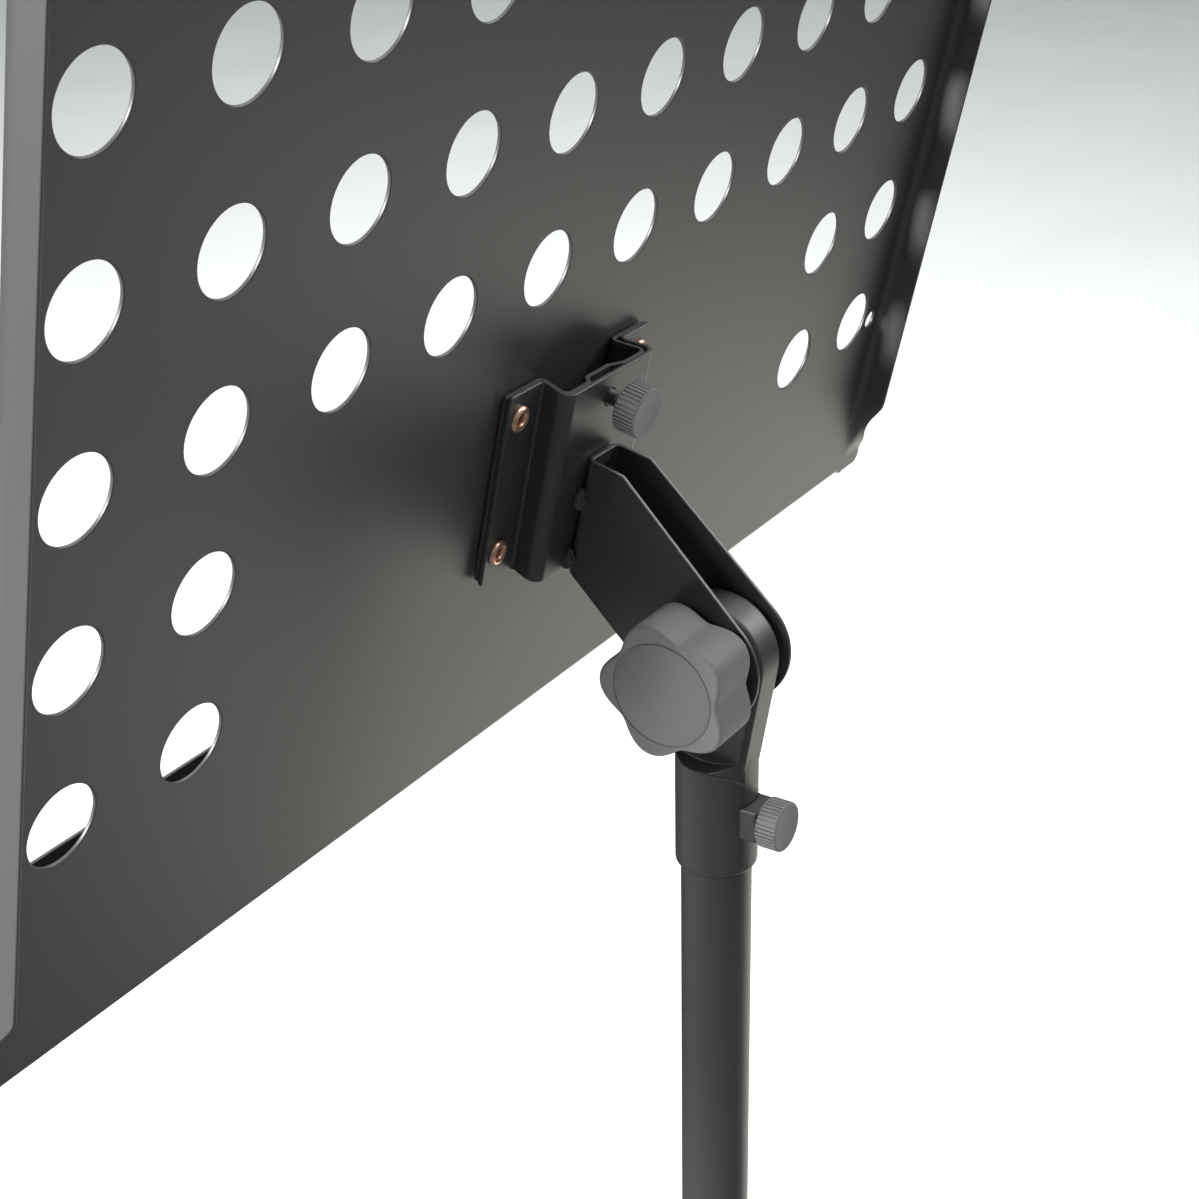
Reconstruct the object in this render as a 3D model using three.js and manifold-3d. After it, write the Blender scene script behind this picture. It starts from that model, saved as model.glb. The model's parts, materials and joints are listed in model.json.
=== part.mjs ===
// Orchestra music stand: a perforated sheet-metal desk on a tilting bracket, a telescopic mast
// and a folding tripod base. Millimetres, +Z up, the musician stands on the -Y side.
// The origin is the middle of the flat underside of the plug that closes the mast's foot.
import * as THREE from "three";
import { mergeVertices } from "three/addons/utils/BufferGeometryUtils.js";
import Module from "manifold-3d";

const wasm = await Module();
wasm.setup();

// ---------------------------------------------------------------- driving dimensions
const GAP = 0.3; // clearance between pieces that touch on the real stand
const FLOOR_Z = -20;
const HINGE_Z = 960; // tilt axis above the mast plug
const DESK_TILT = THREE.MathUtils.degToRad(12.5); // how far the desk's top leans back at rest

// Mast: two telescoping steel tubes
const LOWER_R = 12.7;
const LOWER_BORE_R = 11.5;
const UPPER_R = 11;
const UPPER_BORE_R = 9.8;
const LOWER_TOP_Z = 600;
const UPPER_BOTTOM_Z = 330;
const PLUG_FLANGE = 3;

// Head: a socket tube whose top is pressed flat into a tongue (heights from the tilt axis)
const SOCKET_BOTTOM = -71.6;
const SOCKET_SHOULDER = -33;
const SOCKET_BORE_TOP = -38;
const TONGUE_HALF = 6.4;
const TONGUE_R = 18;
const SOCKET_SCREW_Z = -53;
const NUT_HALF_X = 6;
const NUT_HALF_Z = 5.3;
const NUT_OUT_Y = 17;

// Screws
const STUD_R = 2.5;
const STUD_HOLE_R = 2.9;
const GRIP_R = 7.85;
const BOLT_R = 3;
const BOLT_HOLE_R = 3.4;

// Yoke: a folded U bracket, welded to the channel and hinged on the tongue
const DESK_TO_HINGE = 65; // from the desk's back face to the tilt axis
const SHEET = 1.5;
const YOKE_R = 19.3;
const YOKE_HALF_AT_WEB = 7.9;
const YOKE_HALF_AT_HINGE = 9.6;
const YOKE_TOP = 46;
const YOKE_LOW = 8.5;
const YOKE_KNEE_W = 27.2;

// Channel and liner riveted to the desk (u across, v up the desk, w back from the desk)
const CHANNEL_LOW = 8.6;
const CHANNEL_TOP = 71.5;
const CHANNEL_WEB_W = 14.1;
const FLANGE_EDGE_U = 36.6;
const RIVET_U = 31.2;
const RIVET_V = [18.8, 63.4];
const RIVET_HOLE_R = 2.9;
const DESK_SCREW_V = 63.7;
const CHANNEL_FLANGE_W = 2.75; // middle of the sheet
const CHANNEL_FOOT_U = 20.2;
const CHANNEL_SHOULDER_U = 22.5;
const LINER_SHEET = 1.3;
const LINER_FLANGE_W = 1;
const LINER_FOOT_U = 18.1;
const LINER_SHOULDER_U = 20.1;

// Desk: one folded sheet with a grid of round holes
const DESK_SHEET = 1.2;
const HOLE_PITCH = 45;
const HOLE_R = 11.1;
const HOLE_COLUMNS = 10;
const FIRST_ROW_V = 15.5;
const HOLE_ROWS = 6;
const DESK_LOW = -59.5;
const DESK_TOP = 270;
const BEND_START_U = 223; // the sheet is flat out to here
const FLANGE_BEND_R = 4;
const FLANGE_STRAIGHT = 7.6;
const FLAT_EXTRA = 5; // the strip is this much wider where it lies flat, at the desk's corners
const UNFOLD_FROM = 5.5; // heights from a corner between which the strip turns upright
const UNFOLD_OVER = 32;
const NOTCH_AT = 20.5;
const NOTCH_HALF = 16;
const NOTCH_DEEP = 7.2;
const LEDGE_DEPTH = 44;
const LIP_HEIGHT = 14;

// Tripod: three channel legs on a fixed hub, three flat braces on a sliding spreader
const LEG_AZIMUTHS = [-90, 30, 150];
const HUB_Z = 280;
const HINGE_RADIUS = 26;
const FOOT_RADIUS = 272;
const FOOT_AXIS_Z = -8;
const LEG_WIDTH = 16;
const LEG_DEPTH = 14;
const BRACE_AT = 120; // along the leg, and the brace's own length between pivots
const BRACE_THICK = 3;
const PIN_R = 2.7;
const PIN_SIDES = 14;
const SLEEVE_WALL = 2.5;
const SLEEVE_LENGTH = 34;

const LEG_ANGLE = Math.atan2(FOOT_RADIUS - HINGE_RADIUS, HUB_Z - FOOT_AXIS_Z); // from the vertical
const LEG_LENGTH = Math.hypot(FOOT_RADIUS - HINGE_RADIUS, HUB_Z - FOOT_AXIS_Z);
const SPREADER_Z = HUB_Z - 2 * BRACE_AT * Math.cos(LEG_ANGLE);

// ---------------------------------------------------------------- materials
const paint = new THREE.MeshStandardMaterial({ color: 0x141516, roughness: 0.32, metalness: 0.2 });
const plastic = new THREE.MeshStandardMaterial({ color: 0x2b2c2d, roughness: 0.6, metalness: 0 });
const rubber = new THREE.MeshStandardMaterial({ color: 0x161616, roughness: 0.85, metalness: 0 });
const copper = new THREE.MeshStandardMaterial({ color: 0xb9805c, roughness: 0.3, metalness: 1 });
const zinc = new THREE.MeshStandardMaterial({ color: 0xb4b6b4, roughness: 0.35, metalness: 1 });
const blackSteel = new THREE.MeshStandardMaterial({ color: 0x2a2a2b, roughness: 0.4, metalness: 0.8 });
const brass = new THREE.MeshStandardMaterial({ color: 0xb59a55, roughness: 0.35, metalness: 1 });

// ---------------------------------------------------------------- solids
const AXES = {
  x: [[0, 1, 0], [0, 0, 1], [1, 0, 0]], // outline in Y and Z, length along +X
  y: [[1, 0, 0], [0, 0, 1], [0, -1, 0]], // outline in X and Z, length along -Y
  z: [[1, 0, 0], [0, 1, 0], [0, 0, 1]], // outline in X and Y, length along +Z
};

function solid(geometry) {
  const bare = geometry.clone();
  bare.deleteAttribute("normal");
  bare.deleteAttribute("uv");
  const merged = mergeVertices(bare, 1e-4);
  const mesh = new wasm.Mesh({
    numProp: 3,
    vertProperties: merged.attributes.position.array,
    triVerts: new Uint32Array(merged.index.array),
  });
  return new wasm.Manifold(mesh);
}

function join(first, ...rest) {
  return rest.reduce((sum, piece) => sum.add(piece), first);
}

function cut(first, ...tools) {
  return tools.reduce((left, tool) => left.subtract(tool), first);
}

function piece(name, manifold, material) {
  const data = manifold.getMesh();
  const geometry = new THREE.BufferGeometry()
    .setAttribute("position", new THREE.BufferAttribute(data.vertProperties, 3))
    .setIndex(new THREE.BufferAttribute(data.triVerts, 1));
  geometry.computeVertexNormals();
  const mesh = new THREE.Mesh(geometry, material.clone());
  mesh.name = name;
  return mesh;
}

// An outline given as [a, b] points, pulled along one axis from `from` to `to`.
function prism(points, axis, from, to, holes = []) {
  const shape = new THREE.Shape(points.map(([a, b]) => new THREE.Vector2(a, b)));
  if (THREE.ShapeUtils.isClockWise(shape.getPoints())) shape.curves.reverse();
  for (const { at, r, sides } of holes) {
    shape.holes.push(new THREE.Path(circle(at, r, sides).map(([a, b]) => new THREE.Vector2(a, b))));
  }
  const geometry = new THREE.ExtrudeGeometry(shape, { depth: to - from, bevelEnabled: false });
  const [ex, ey, ez] = AXES[axis].map((v) => new THREE.Vector3(...v));
  geometry.applyMatrix4(new THREE.Matrix4().makeBasis(ex, ey, ez));
  const shift = axis === "y" ? to : from;
  geometry.translate(axis === "x" ? shift : 0, axis === "y" ? shift : 0, axis === "z" ? shift : 0);
  return solid(geometry);
}

function circle([a, b], r, sides = 24) {
  const turn = (i) => (2 * Math.PI * (i + 0.5)) / sides;
  return Array.from({ length: sides }, (_, i) => [a + r * Math.cos(turn(i)), b + r * Math.sin(turn(i))]);
}

// A round bar along an axis; `at` is its centre in the two other directions, in X, Y, Z order.
function rod(r, axis, from, to, at = [0, 0], sides = 20) {
  return prism(circle(at, r, sides), axis, from, to);
}

function tube(outer, inner, from, to, sides = 32) {
  return prism(circle([0, 0], outer, sides), "z", from, to, [{ at: [0, 0], r: inner, sides }]);
}

function box([x0, y0, z0], [x1, y1, z1]) {
  const geometry = new THREE.BoxGeometry(x1 - x0, y1 - y0, z1 - z0);
  geometry.translate((x0 + x1) / 2, (y0 + y1) / 2, (z0 + z1) / 2);
  return solid(geometry);
}

// A turned piece: [radius, height] points from the bottom of the axis to its top.
function turned(profile, axis, sides = 24) {
  const geometry = new THREE.LatheGeometry(profile.map(([r, h]) => new THREE.Vector2(r, h)), sides);
  if (axis === "x") geometry.rotateZ(-Math.PI / 2);
  if (axis === "z") geometry.rotateX(Math.PI / 2);
  return solid(geometry);
}

// ---------------------------------------------------------------- flat outlines
// The stretch of an arc, as points, from one angle to another.
function arc([a, b], r, start, end, steps) {
  return Array.from({ length: steps + 1 }, (_, i) => {
    const t = start + ((end - start) * i) / steps;
    return [a + r * Math.cos(t), b + r * Math.sin(t)];
  });
}

// Where the line from a point touches a circle; side is +1 or -1.
function tangentAngle([a, b], [ca, cb], r, side) {
  const distance = Math.hypot(a - ca, b - cb);
  return Math.atan2(b - cb, a - ca) + side * Math.acos(r / distance);
}

const BEND_STEPS = 3;

// The outline of a folded strip: its middle line has corners [a, b, bend radius].
function foldedStrip(corners, thickness) {
  const path = [];
  corners.forEach(([a, b, r], i) => {
    if (!r) return path.push([a, b]);
    const here = new THREE.Vector2(a, b);
    const back = new THREE.Vector2(corners[i - 1][0], corners[i - 1][1]).sub(here).normalize();
    const on = new THREE.Vector2(corners[i + 1][0], corners[i + 1][1]).sub(here).normalize();
    const half = Math.acos(THREE.MathUtils.clamp(back.dot(on), -1, 1)) / 2;
    const reach = r / Math.tan(half);
    const centre = here.clone().addScaledVector(back.clone().add(on).normalize(), r / Math.sin(half));
    const from = here.clone().addScaledVector(back, reach).sub(centre);
    const to = here.clone().addScaledVector(on, reach).sub(centre);
    const sweep = Math.atan2(from.cross(to), from.dot(to));
    return path.push(...arc([centre.x, centre.y], r, from.angle(), from.angle() + sweep, BEND_STEPS));
  });
  const side = (offset) =>
    path.map(([a, b], i) => {
      const before = path[Math.max(i - 1, 0)];
      const after = path[Math.min(i + 1, path.length - 1)];
      const along = new THREE.Vector2(after[0] - before[0], after[1] - before[1]).normalize();
      return [a - along.y * offset, b + along.x * offset];
    });
  return [...side(-thickness / 2), ...side(thickness / 2).reverse()];
}

function lobedOutline(lobes, peak, valley, turn, steps) {
  return Array.from({ length: steps }, (_, i) => {
    const t = (2 * Math.PI * i) / steps;
    const r = (peak + valley) / 2 + ((peak - valley) / 2) * Math.cos(lobes * (t - turn));
    return [r * Math.cos(t), r * Math.sin(t)];
  });
}

// ---------------------------------------------------------------- mast and base
function lowerTube() {
  return piece("lower_tube", tube(LOWER_R, LOWER_BORE_R, PLUG_FLANGE + GAP, LOWER_TOP_Z), paint);
}

function bottomPlug() {
  const flange = rod(LOWER_R + 1.6, "z", 0, PLUG_FLANGE, [0, 0], 32);
  const stem = rod(LOWER_BORE_R - GAP, "z", PLUG_FLANGE - 1, 20, [0, 0], 32);
  return piece("bottom_plug", join(flange, stem), plastic);
}

const CLAMP_Z = 612; // height of the mast clamp's screw
const CLAMP_OUT_Y = 31;

function clampCollar() {
  const body = prism(circle([0, 0], 17.5, 32), "z", LOWER_TOP_Z - 30, LOWER_TOP_Z + 24);
  const boss = rod(8.5, "y", 8, CLAMP_OUT_Y, [0, CLAMP_Z]);
  const seat = rod(LOWER_R + GAP, "z", LOWER_TOP_Z - 31, LOWER_TOP_Z + GAP, [0, 0], 32);
  const guide = rod(UPPER_R + GAP, "z", LOWER_TOP_Z, LOWER_TOP_Z + 25, [0, 0], 32);
  const screwHole = rod(3.4, "y", 5, CLAMP_OUT_Y + 1, [0, CLAMP_Z]);
  return piece("clamp_collar", cut(join(body, boss), seat, guide, screwHole), plastic);
}

function clampKnob() {
  const from = CLAMP_OUT_Y + GAP;
  const grip = prism(lobedOutline(5, 15.5, 12.5, Math.PI / 2, 50), "y", from + 3, from + 17);
  const neck = rod(8, "y", from, from + 4);
  const hole = rod(3 + GAP, "y", from - 1, from + 12 + GAP);
  const stud = rod(3, "y", UPPER_R + GAP, from + 12);
  const group = new THREE.Group();
  group.position.set(0, 0, CLAMP_Z);
  group.add(piece("clamp_knob", cut(join(grip, neck), hole), plastic), piece("clamp_stud", stud, zinc));
  return group;
}

function upperTube() {
  const made = tube(UPPER_R, UPPER_BORE_R, UPPER_BOTTOM_Z, HINGE_Z + SOCKET_BORE_TOP - 1);
  return piece("upper_tube", made, paint);
}

function mastGlide() {
  const flange = rod(LOWER_BORE_R - 0.15, "z", UPPER_BOTTOM_Z - 8, UPPER_BOTTOM_Z - GAP, [0, 0], 32);
  const stem = rod(UPPER_BORE_R - GAP, "z", UPPER_BOTTOM_Z - 2, UPPER_BOTTOM_Z + 18, [0, 0], 32);
  return piece("mast_glide", join(flange, stem), plastic);
}

// ---------------------------------------------------------------- head
function headSocket() {
  const barrel = rod(LOWER_R, "z", SOCKET_BOTTOM, SOCKET_SHOULDER, [0, 0], 32);
  const sideLow = [LOWER_R - 0.6, SOCKET_SHOULDER - 4];
  const touch = tangentAngle(sideLow, [0, 0], TONGUE_R, 1);
  const outline = [
    [-sideLow[0], sideLow[1]],
    sideLow,
    ...arc([0, 0], TONGUE_R, touch, Math.PI - touch, 16),
  ];
  const tongue = prism(outline, "x", -TONGUE_HALF, TONGUE_HALF);
  const bore = rod(UPPER_R + GAP, "z", SOCKET_BOTTOM - 1, SOCKET_BORE_TOP, [0, 0], 32);
  const pivotHole = rod(BOLT_HOLE_R, "x", -10, 10);
  const screwHole = rod(STUD_HOLE_R, "y", 5, 15, [0, SOCKET_SCREW_Z]);
  return piece("head_socket", cut(join(barrel, tongue), bore, pivotHole, screwHole), paint);
}

function socketNut() {
  const low = [-NUT_HALF_X, 8, SOCKET_SCREW_Z - NUT_HALF_Z];
  const high = [NUT_HALF_X, NUT_OUT_Y, SOCKET_SCREW_Z + NUT_HALF_Z];
  const barrel = rod(LOWER_R + GAP, "z", SOCKET_BOTTOM, SOCKET_SHOULDER, [0, 0], 32);
  const thread = rod(STUD_HOLE_R, "y", 5, 20, [0, SOCKET_SCREW_Z]);
  return piece("socket_nut", cut(box(low, high), barrel, thread), paint);
}

// A thumbscrew along +Y: its stud from `tip`, its round grip from `grip` outwards.
function thumbscrew(name, tip, grip, length) {
  const head = rod(GRIP_R, "y", grip, grip + length, [0, 0], 24);
  const hole = rod(STUD_R + GAP, "y", grip - 1, grip + length - 2);
  const stud = rod(STUD_R, "y", tip, grip + length - 2 - GAP, [0, 0], 16);
  return [
    piece(name + "_grip", cut(head, hole), plastic),
    piece(name + "_stud", stud, blackSteel),
  ];
}

function socketScrew() {
  const group = new THREE.Group();
  group.position.set(0, 0, SOCKET_SCREW_Z);
  group.add(...thumbscrew("socket_screw", UPPER_R + GAP, NUT_OUT_Y + GAP, 7));
  return group;
}

function head() {
  const group = new THREE.Group();
  group.position.z = HINGE_Z;
  group.add(headSocket(), socketNut(), socketScrew());
  return group;
}

// ---------------------------------------------------------------- desk bracket
// In the desk's own frame the tilt axis is at y = 0 and the desk's back face at y = -DESK_TO_HINGE.
function backFrom(w) {
  return w - DESK_TO_HINGE;
}

function cheekOutline() {
  const web = backFrom(CHANNEL_WEB_W + GAP);
  const knee = [backFrom(YOKE_KNEE_W), YOKE_TOP];
  const low = [web, YOKE_LOW];
  const upper = tangentAngle(knee, [0, 0], YOKE_R, -1);
  const lower = tangentAngle(low, [0, 0], YOKE_R, 1);
  return [low, ...arc([0, 0], YOKE_R, lower - 2 * Math.PI, upper, 24), knee, [web, YOKE_TOP]];
}

function tiltYoke() {
  const web = backFrom(CHANNEL_WEB_W + GAP);
  const slope = (YOKE_HALF_AT_HINGE - YOKE_HALF_AT_WEB) / -web;
  const splay = (side) => (x, y) => x + side * slope * (y - web);
  const cheek = (side) => {
    const inner = side * (YOKE_HALF_AT_WEB - SHEET);
    const outer = side * YOKE_HALF_AT_WEB;
    const holes = [{ at: [0, 0], r: BOLT_HOLE_R, sides: 20 }];
    const flat = prism(cheekOutline(), "x", Math.min(inner, outer), Math.max(inner, outer), holes);
    return flat.warp((v) => {
      v[0] = splay(side)(v[0], v[1]);
    });
  };
  const half = YOKE_HALF_AT_WEB - 0.5;
  const plate = box([-half, web, YOKE_LOW], [half, web + SHEET, YOKE_TOP]);
  const bead = (v) => {
    const drop = new THREE.SphereGeometry(2.6, 10, 6);
    drop.scale(1, 0.8, 1.5);
    drop.translate(YOKE_HALF_AT_WEB, web + 0.9, v);
    return cut(solid(drop), box([-20, web - 9, v - 9], [20, web, v + 9]));
  };
  return piece("tilt_yoke", join(cheek(1), cheek(-1), plate, bead(33), bead(12)), paint);
}

function rivetHoles() {
  return [-RIVET_U, RIVET_U].flatMap((u) =>
    RIVET_V.map((v) => rod(RIVET_HOLE_R, "y", backFrom(-3), backFrom(6), [u, v], 16)),
  );
}

function bracketChannel() {
  const web = CHANNEL_WEB_W - SHEET / 2;
  const corners = [
    [FLANGE_EDGE_U, CHANNEL_FLANGE_W],
    [CHANNEL_FOOT_U, CHANNEL_FLANGE_W, 1.6],
    [CHANNEL_SHOULDER_U, web, 2.8],
    [-CHANNEL_SHOULDER_U, web, 2.8],
    [-CHANNEL_FOOT_U, CHANNEL_FLANGE_W, 1.6],
    [-FLANGE_EDGE_U, CHANNEL_FLANGE_W],
  ].map(([u, w, r]) => [u, backFrom(w), r]);
  const folded = prism(foldedStrip(corners, SHEET), "z", CHANNEL_LOW, CHANNEL_TOP);
  const screwHole = rod(STUD_HOLE_R, "y", backFrom(9), backFrom(16), [0, DESK_SCREW_V], 16);
  return piece("bracket_channel", cut(folded, screwHole, ...rivetHoles()), paint);
}

const POCKET_W = 9.4; // middle of the liner's sheet behind the accessory pocket

function bracketLiner() {
  const web = CHANNEL_WEB_W - SHEET - GAP - 0.75;
  const corners = [
    [FLANGE_EDGE_U, LINER_FLANGE_W],
    [LINER_FOOT_U, LINER_FLANGE_W, 1.4],
    [LINER_SHOULDER_U, web, 2],
    [9.6, web, 1],
    [7.4, POCKET_W, 1],
    [-3.8, POCKET_W, 1],
    [-9.4, web, 1],
    [-LINER_SHOULDER_U, web, 2],
    [-LINER_FOOT_U, LINER_FLANGE_W, 1.4],
    [-FLANGE_EDGE_U, LINER_FLANGE_W],
  ].map(([u, w, r]) => [u, backFrom(w), r]);
  const folded = prism(foldedStrip(corners, LINER_SHEET), "z", CHANNEL_LOW + 1, CHANNEL_TOP - 0.6);
  return piece("bracket_liner", cut(folded, ...rivetHoles()), paint);
}

function deskRivets() {
  const names = ["right", "left"];
  return [RIVET_U, -RIVET_U].flatMap((u, side) =>
    RIVET_V.map((v, row) => {
      const made = turned(
        [
          [0, -2.6], [3.6, -2.6], [4, -1.9], [4, -1.5], [2.5, -1.5],
          [2.5, 3.8], [4, 3.8], [4, 4.3], [3.3, 5], [1.7, 5], [1.7, 1.5], [0, 1.5],
        ],
        "y",
        14,
      );
      const rivet = piece("rivet_" + names[side] + "_" + (row ? "top" : "low"), made, copper);
      rivet.position.set(u, backFrom(0), v);
      return rivet;
    }),
  );
}

function deskScrew() {
  const group = new THREE.Group();
  group.position.set(0, backFrom(0), DESK_SCREW_V);
  group.add(...thumbscrew("desk_screw", 10.6, 19.7, 7.4));
  return group;
}

// ---------------------------------------------------------------- tilt clamp
const KNOB_BACK_X = 11.6;
const KNOB_GRIP_X = 13.5;
const KNOB_FRONT_X = 31.5;
const KNOB_TURN = THREE.MathUtils.degToRad(38);

function pivotBolt() {
  const shank = rod(BOLT_R, "x", -12, KNOB_FRONT_X - 7);
  const domed = turned([[0, -13.6], [3.6, -13.2], [6.3, -12.1], [7.6, -10.3], [0, -10.3]], "x", 24);
  return piece("pivot_bolt", join(shank, domed), zinc);
}

function ring(name, outer, inner, from, to, material) {
  const made = prism(circle([0, 0], outer, 28), "x", from, to, [{ at: [0, 0], r: inner, sides: 20 }]);
  return piece(name, made, material);
}

function starKnob() {
  const grip = prism(lobedOutline(5, 21.6, 17.6, KNOB_TURN, 60), "x", KNOB_GRIP_X, KNOB_FRONT_X);
  const crown = [[0, -1], [15.8, -1], [15.8, 0], [13, 1.3], [9, 2.4], [4.5, 3.1], [0, 3.3]];
  const dome = turned(crown.map(([r, out]) => [r, KNOB_FRONT_X + out]), "x", 32);
  const neck = rod(10, "x", KNOB_BACK_X, KNOB_GRIP_X + 1);
  const pocket = rod(5.3, "x", KNOB_BACK_X - 1, KNOB_FRONT_X - 5);
  return piece("star_knob", cut(join(grip, dome, neck), pocket), plastic);
}

function knobNut() {
  return ring("knob_nut", 5, BOLT_R + GAP, KNOB_BACK_X + GAP, KNOB_FRONT_X - 6, brass);
}

// ---------------------------------------------------------------- desk sheet
// Holes fill the grid, except that the two lowest rows keep only the two outermost columns.
function deskHoles() {
  const centres = [];
  for (let row = 0; row < HOLE_ROWS; row += 1) {
    for (let column = 0; column < HOLE_COLUMNS; column += 1) {
      const u = (column - (HOLE_COLUMNS - 1) / 2) * HOLE_PITCH;
      const inner = Math.abs(u) < 3 * HOLE_PITCH;
      if (row < 2 && inner) continue;
      centres.push([u, FIRST_ROW_V + row * HOLE_PITCH]);
    }
  }
  return centres;
}

// Height from the nearer of the desk's two corners.
function fromCorner(v) {
  return Math.min(v - DESK_LOW, DESK_TOP - v);
}

// How far the side strip is folded at a height: flat at both corners, upright between them.
function foldAngle(v) {
  const t = THREE.MathUtils.clamp((fromCorner(v) - UNFOLD_FROM) / UNFOLD_OVER, 0, 1);
  return (Math.PI / 2) * t * t * (3 - 2 * t);
}

// The strip beyond its bend: wider where it is flat, and notched where it turns upright.
function stripStraight(v) {
  const flatShare = 1 - foldAngle(v) / (Math.PI / 2);
  const across = Math.min(1, Math.abs(fromCorner(v) - NOTCH_AT) / NOTCH_HALF);
  const notch = NOTCH_DEEP * (1 - across ** 2) ** 2;
  const rounded = Math.max(0, 2.5 - fromCorner(v));
  return FLANGE_STRAIGHT + FLAT_EXTRA * flatShare - notch - rounded;
}

function sideStrip(side) {
  const near = [1.4, 3, ...Array.from({ length: 9 }, (_, i) => 6 + 4 * i), 41];
  const heights = [...near.map((h) => DESK_LOW + h), ...near.reverse().map((h) => DESK_TOP - h)];
  const steps = 5;
  const rows = heights.map((v) => {
    const angle = foldAngle(v);
    const row = [{ u: BEND_START_U - 1, w: -DESK_SHEET / 2, lean: 0 }];
    const r = FLANGE_BEND_R;
    for (let i = 0; i <= steps; i += 1) {
      const t = (angle * i) / steps;
      const leftover = ((Math.PI / 2 - angle) * r * i) / steps;
      row.push({
        u: BEND_START_U + r * Math.sin(t) + leftover * Math.cos(t),
        w: -DESK_SHEET / 2 + r * (1 - Math.cos(t)) + leftover * Math.sin(t),
        lean: t,
      });
    }
    const last = row[row.length - 1];
    const reach = stripStraight(v);
    row.push({ u: last.u + reach * Math.cos(angle), w: last.w + reach * Math.sin(angle), lean: angle });
    return row.map(({ u, w, lean }) => ({ u, w, v, lean }));
  });
  return thickened(rows, side);
}

// A closed solid from a grid of middle-surface points, each with its sheet's lean.
function thickened(rows, side) {
  const columns = rows[0].length;
  const positions = [];
  for (const half of [-DESK_SHEET / 2, DESK_SHEET / 2]) {
    for (const row of rows) {
      for (const { u, w, v, lean } of row) {
        positions.push(side * (u - half * Math.sin(lean)), backFrom(w + half * Math.cos(lean)), v);
      }
    }
  }
  const at = (layer, i, j) => (layer * rows.length + i) * columns + j;
  const faces = [];
  const quad = (a, b, c, d) => faces.push(a, b, c, a, c, d);
  for (let i = 0; i + 1 < rows.length; i += 1) {
    for (let j = 0; j + 1 < columns; j += 1) {
      quad(at(0, i, j), at(0, i, j + 1), at(0, i + 1, j + 1), at(0, i + 1, j));
      quad(at(1, i, j), at(1, i + 1, j), at(1, i + 1, j + 1), at(1, i, j + 1));
    }
    quad(at(0, i, 0), at(0, i + 1, 0), at(1, i + 1, 0), at(1, i, 0));
    const end = columns - 1;
    quad(at(0, i, end), at(1, i, end), at(1, i + 1, end), at(0, i + 1, end));
  }
  for (let j = 0; j + 1 < columns; j += 1) {
    const top = rows.length - 1;
    quad(at(0, 0, j), at(1, 0, j), at(1, 0, j + 1), at(0, 0, j + 1));
    quad(at(0, top, j), at(0, top, j + 1), at(1, top, j + 1), at(1, top, j));
  }
  if (side < 0) {
    for (let i = 0; i < faces.length; i += 3) [faces[i + 1], faces[i + 2]] = [faces[i + 2], faces[i + 1]];
  }
  const geometry = new THREE.BufferGeometry();
  geometry.setAttribute("position", new THREE.Float32BufferAttribute(positions, 3));
  geometry.setIndex(faces);
  return solid(geometry);
}

function deskPanel() {
  const half = DESK_SHEET / 2;
  const foldR = 2.5;
  const low = DESK_LOW + 1.4;
  const high = DESK_TOP - 1.4;
  const panel = prism(
    [[-BEND_START_U, low], [BEND_START_U, low], [BEND_START_U, high], [-BEND_START_U, high]],
    "y",
    backFrom(-DESK_SHEET),
    backFrom(0),
    deskHoles().map((at) => ({ at, r: HOLE_R, sides: 14 })),
  );
  const ledge = foldedStrip(
    [
      [backFrom(-half), DESK_LOW + 8],
      [backFrom(-half), DESK_LOW + half, foldR],
      [backFrom(-half - LEDGE_DEPTH), DESK_LOW + half, foldR],
      [backFrom(-half - LEDGE_DEPTH), DESK_LOW + LIP_HEIGHT],
    ],
    DESK_SHEET,
  );
  const ledgeHalf = BEND_START_U + 4;
  const tray = prism(ledge, "x", -ledgeHalf, ledgeHalf);
  const edgeHoles = [-1, 1].map((side) =>
    rod(3.2, "y", backFrom(-3), backFrom(3), [side * (BEND_START_U - 4.5), 11.4], 12),
  );
  return piece(
    "desk_panel",
    cut(join(panel, tray, sideStrip(1), sideStrip(-1)), ...rivetHoles(), ...edgeHoles),
    paint,
  );
}

function desk() {
  const group = new THREE.Group();
  group.position.z = HINGE_Z;
  group.rotation.x = -DESK_TILT;
  group.add(deskPanel(), bracketLiner(), bracketChannel(), ...deskRivets(), tiltYoke(), deskScrew());
  return group;
}

function tiltClamp() {
  const group = new THREE.Group();
  group.position.z = HINGE_Z;
  group.add(pivotBolt(), starKnob(), knobNut());
  const near = TONGUE_HALF + GAP;
  const far = TONGUE_HALF + 1.2;
  group.add(ring("friction_washer_right", 11, BOLT_HOLE_R, near, far, plastic));
  group.add(ring("friction_washer_left", 11, BOLT_HOLE_R, -far, -near, plastic));
  group.add(ring("knob_washer", 9, BOLT_HOLE_R, YOKE_HALF_AT_HINGE + 0.6, KNOB_BACK_X - GAP, zinc));
  return group;
}

// ---------------------------------------------------------------- tripod
const RING_R = 18;
const LUG_R = 6;

function legHub() {
  const body = tube(RING_R, LOWER_R + GAP, HUB_Z - 14, HUB_Z + 14);
  const lugs = LEG_AZIMUTHS.map((degrees) => {
    const arm = join(
      box([RING_R - 3, -5, HUB_Z - LUG_R], [HINGE_RADIUS, 5, HUB_Z + LUG_R]),
      rod(LUG_R, "y", -5, 5, [HINGE_RADIUS, HUB_Z], 16),
    );
    const hole = rod(PIN_R + GAP, "y", -7, 7, [HINGE_RADIUS, HUB_Z], PIN_SIDES);
    return cut(arm, hole).rotate([0, 0, degrees]);
  });
  return piece("leg_hub", join(body, ...lugs), plastic);
}

const SLOT_HALF = BRACE_THICK / 2 + 0.6;

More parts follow.
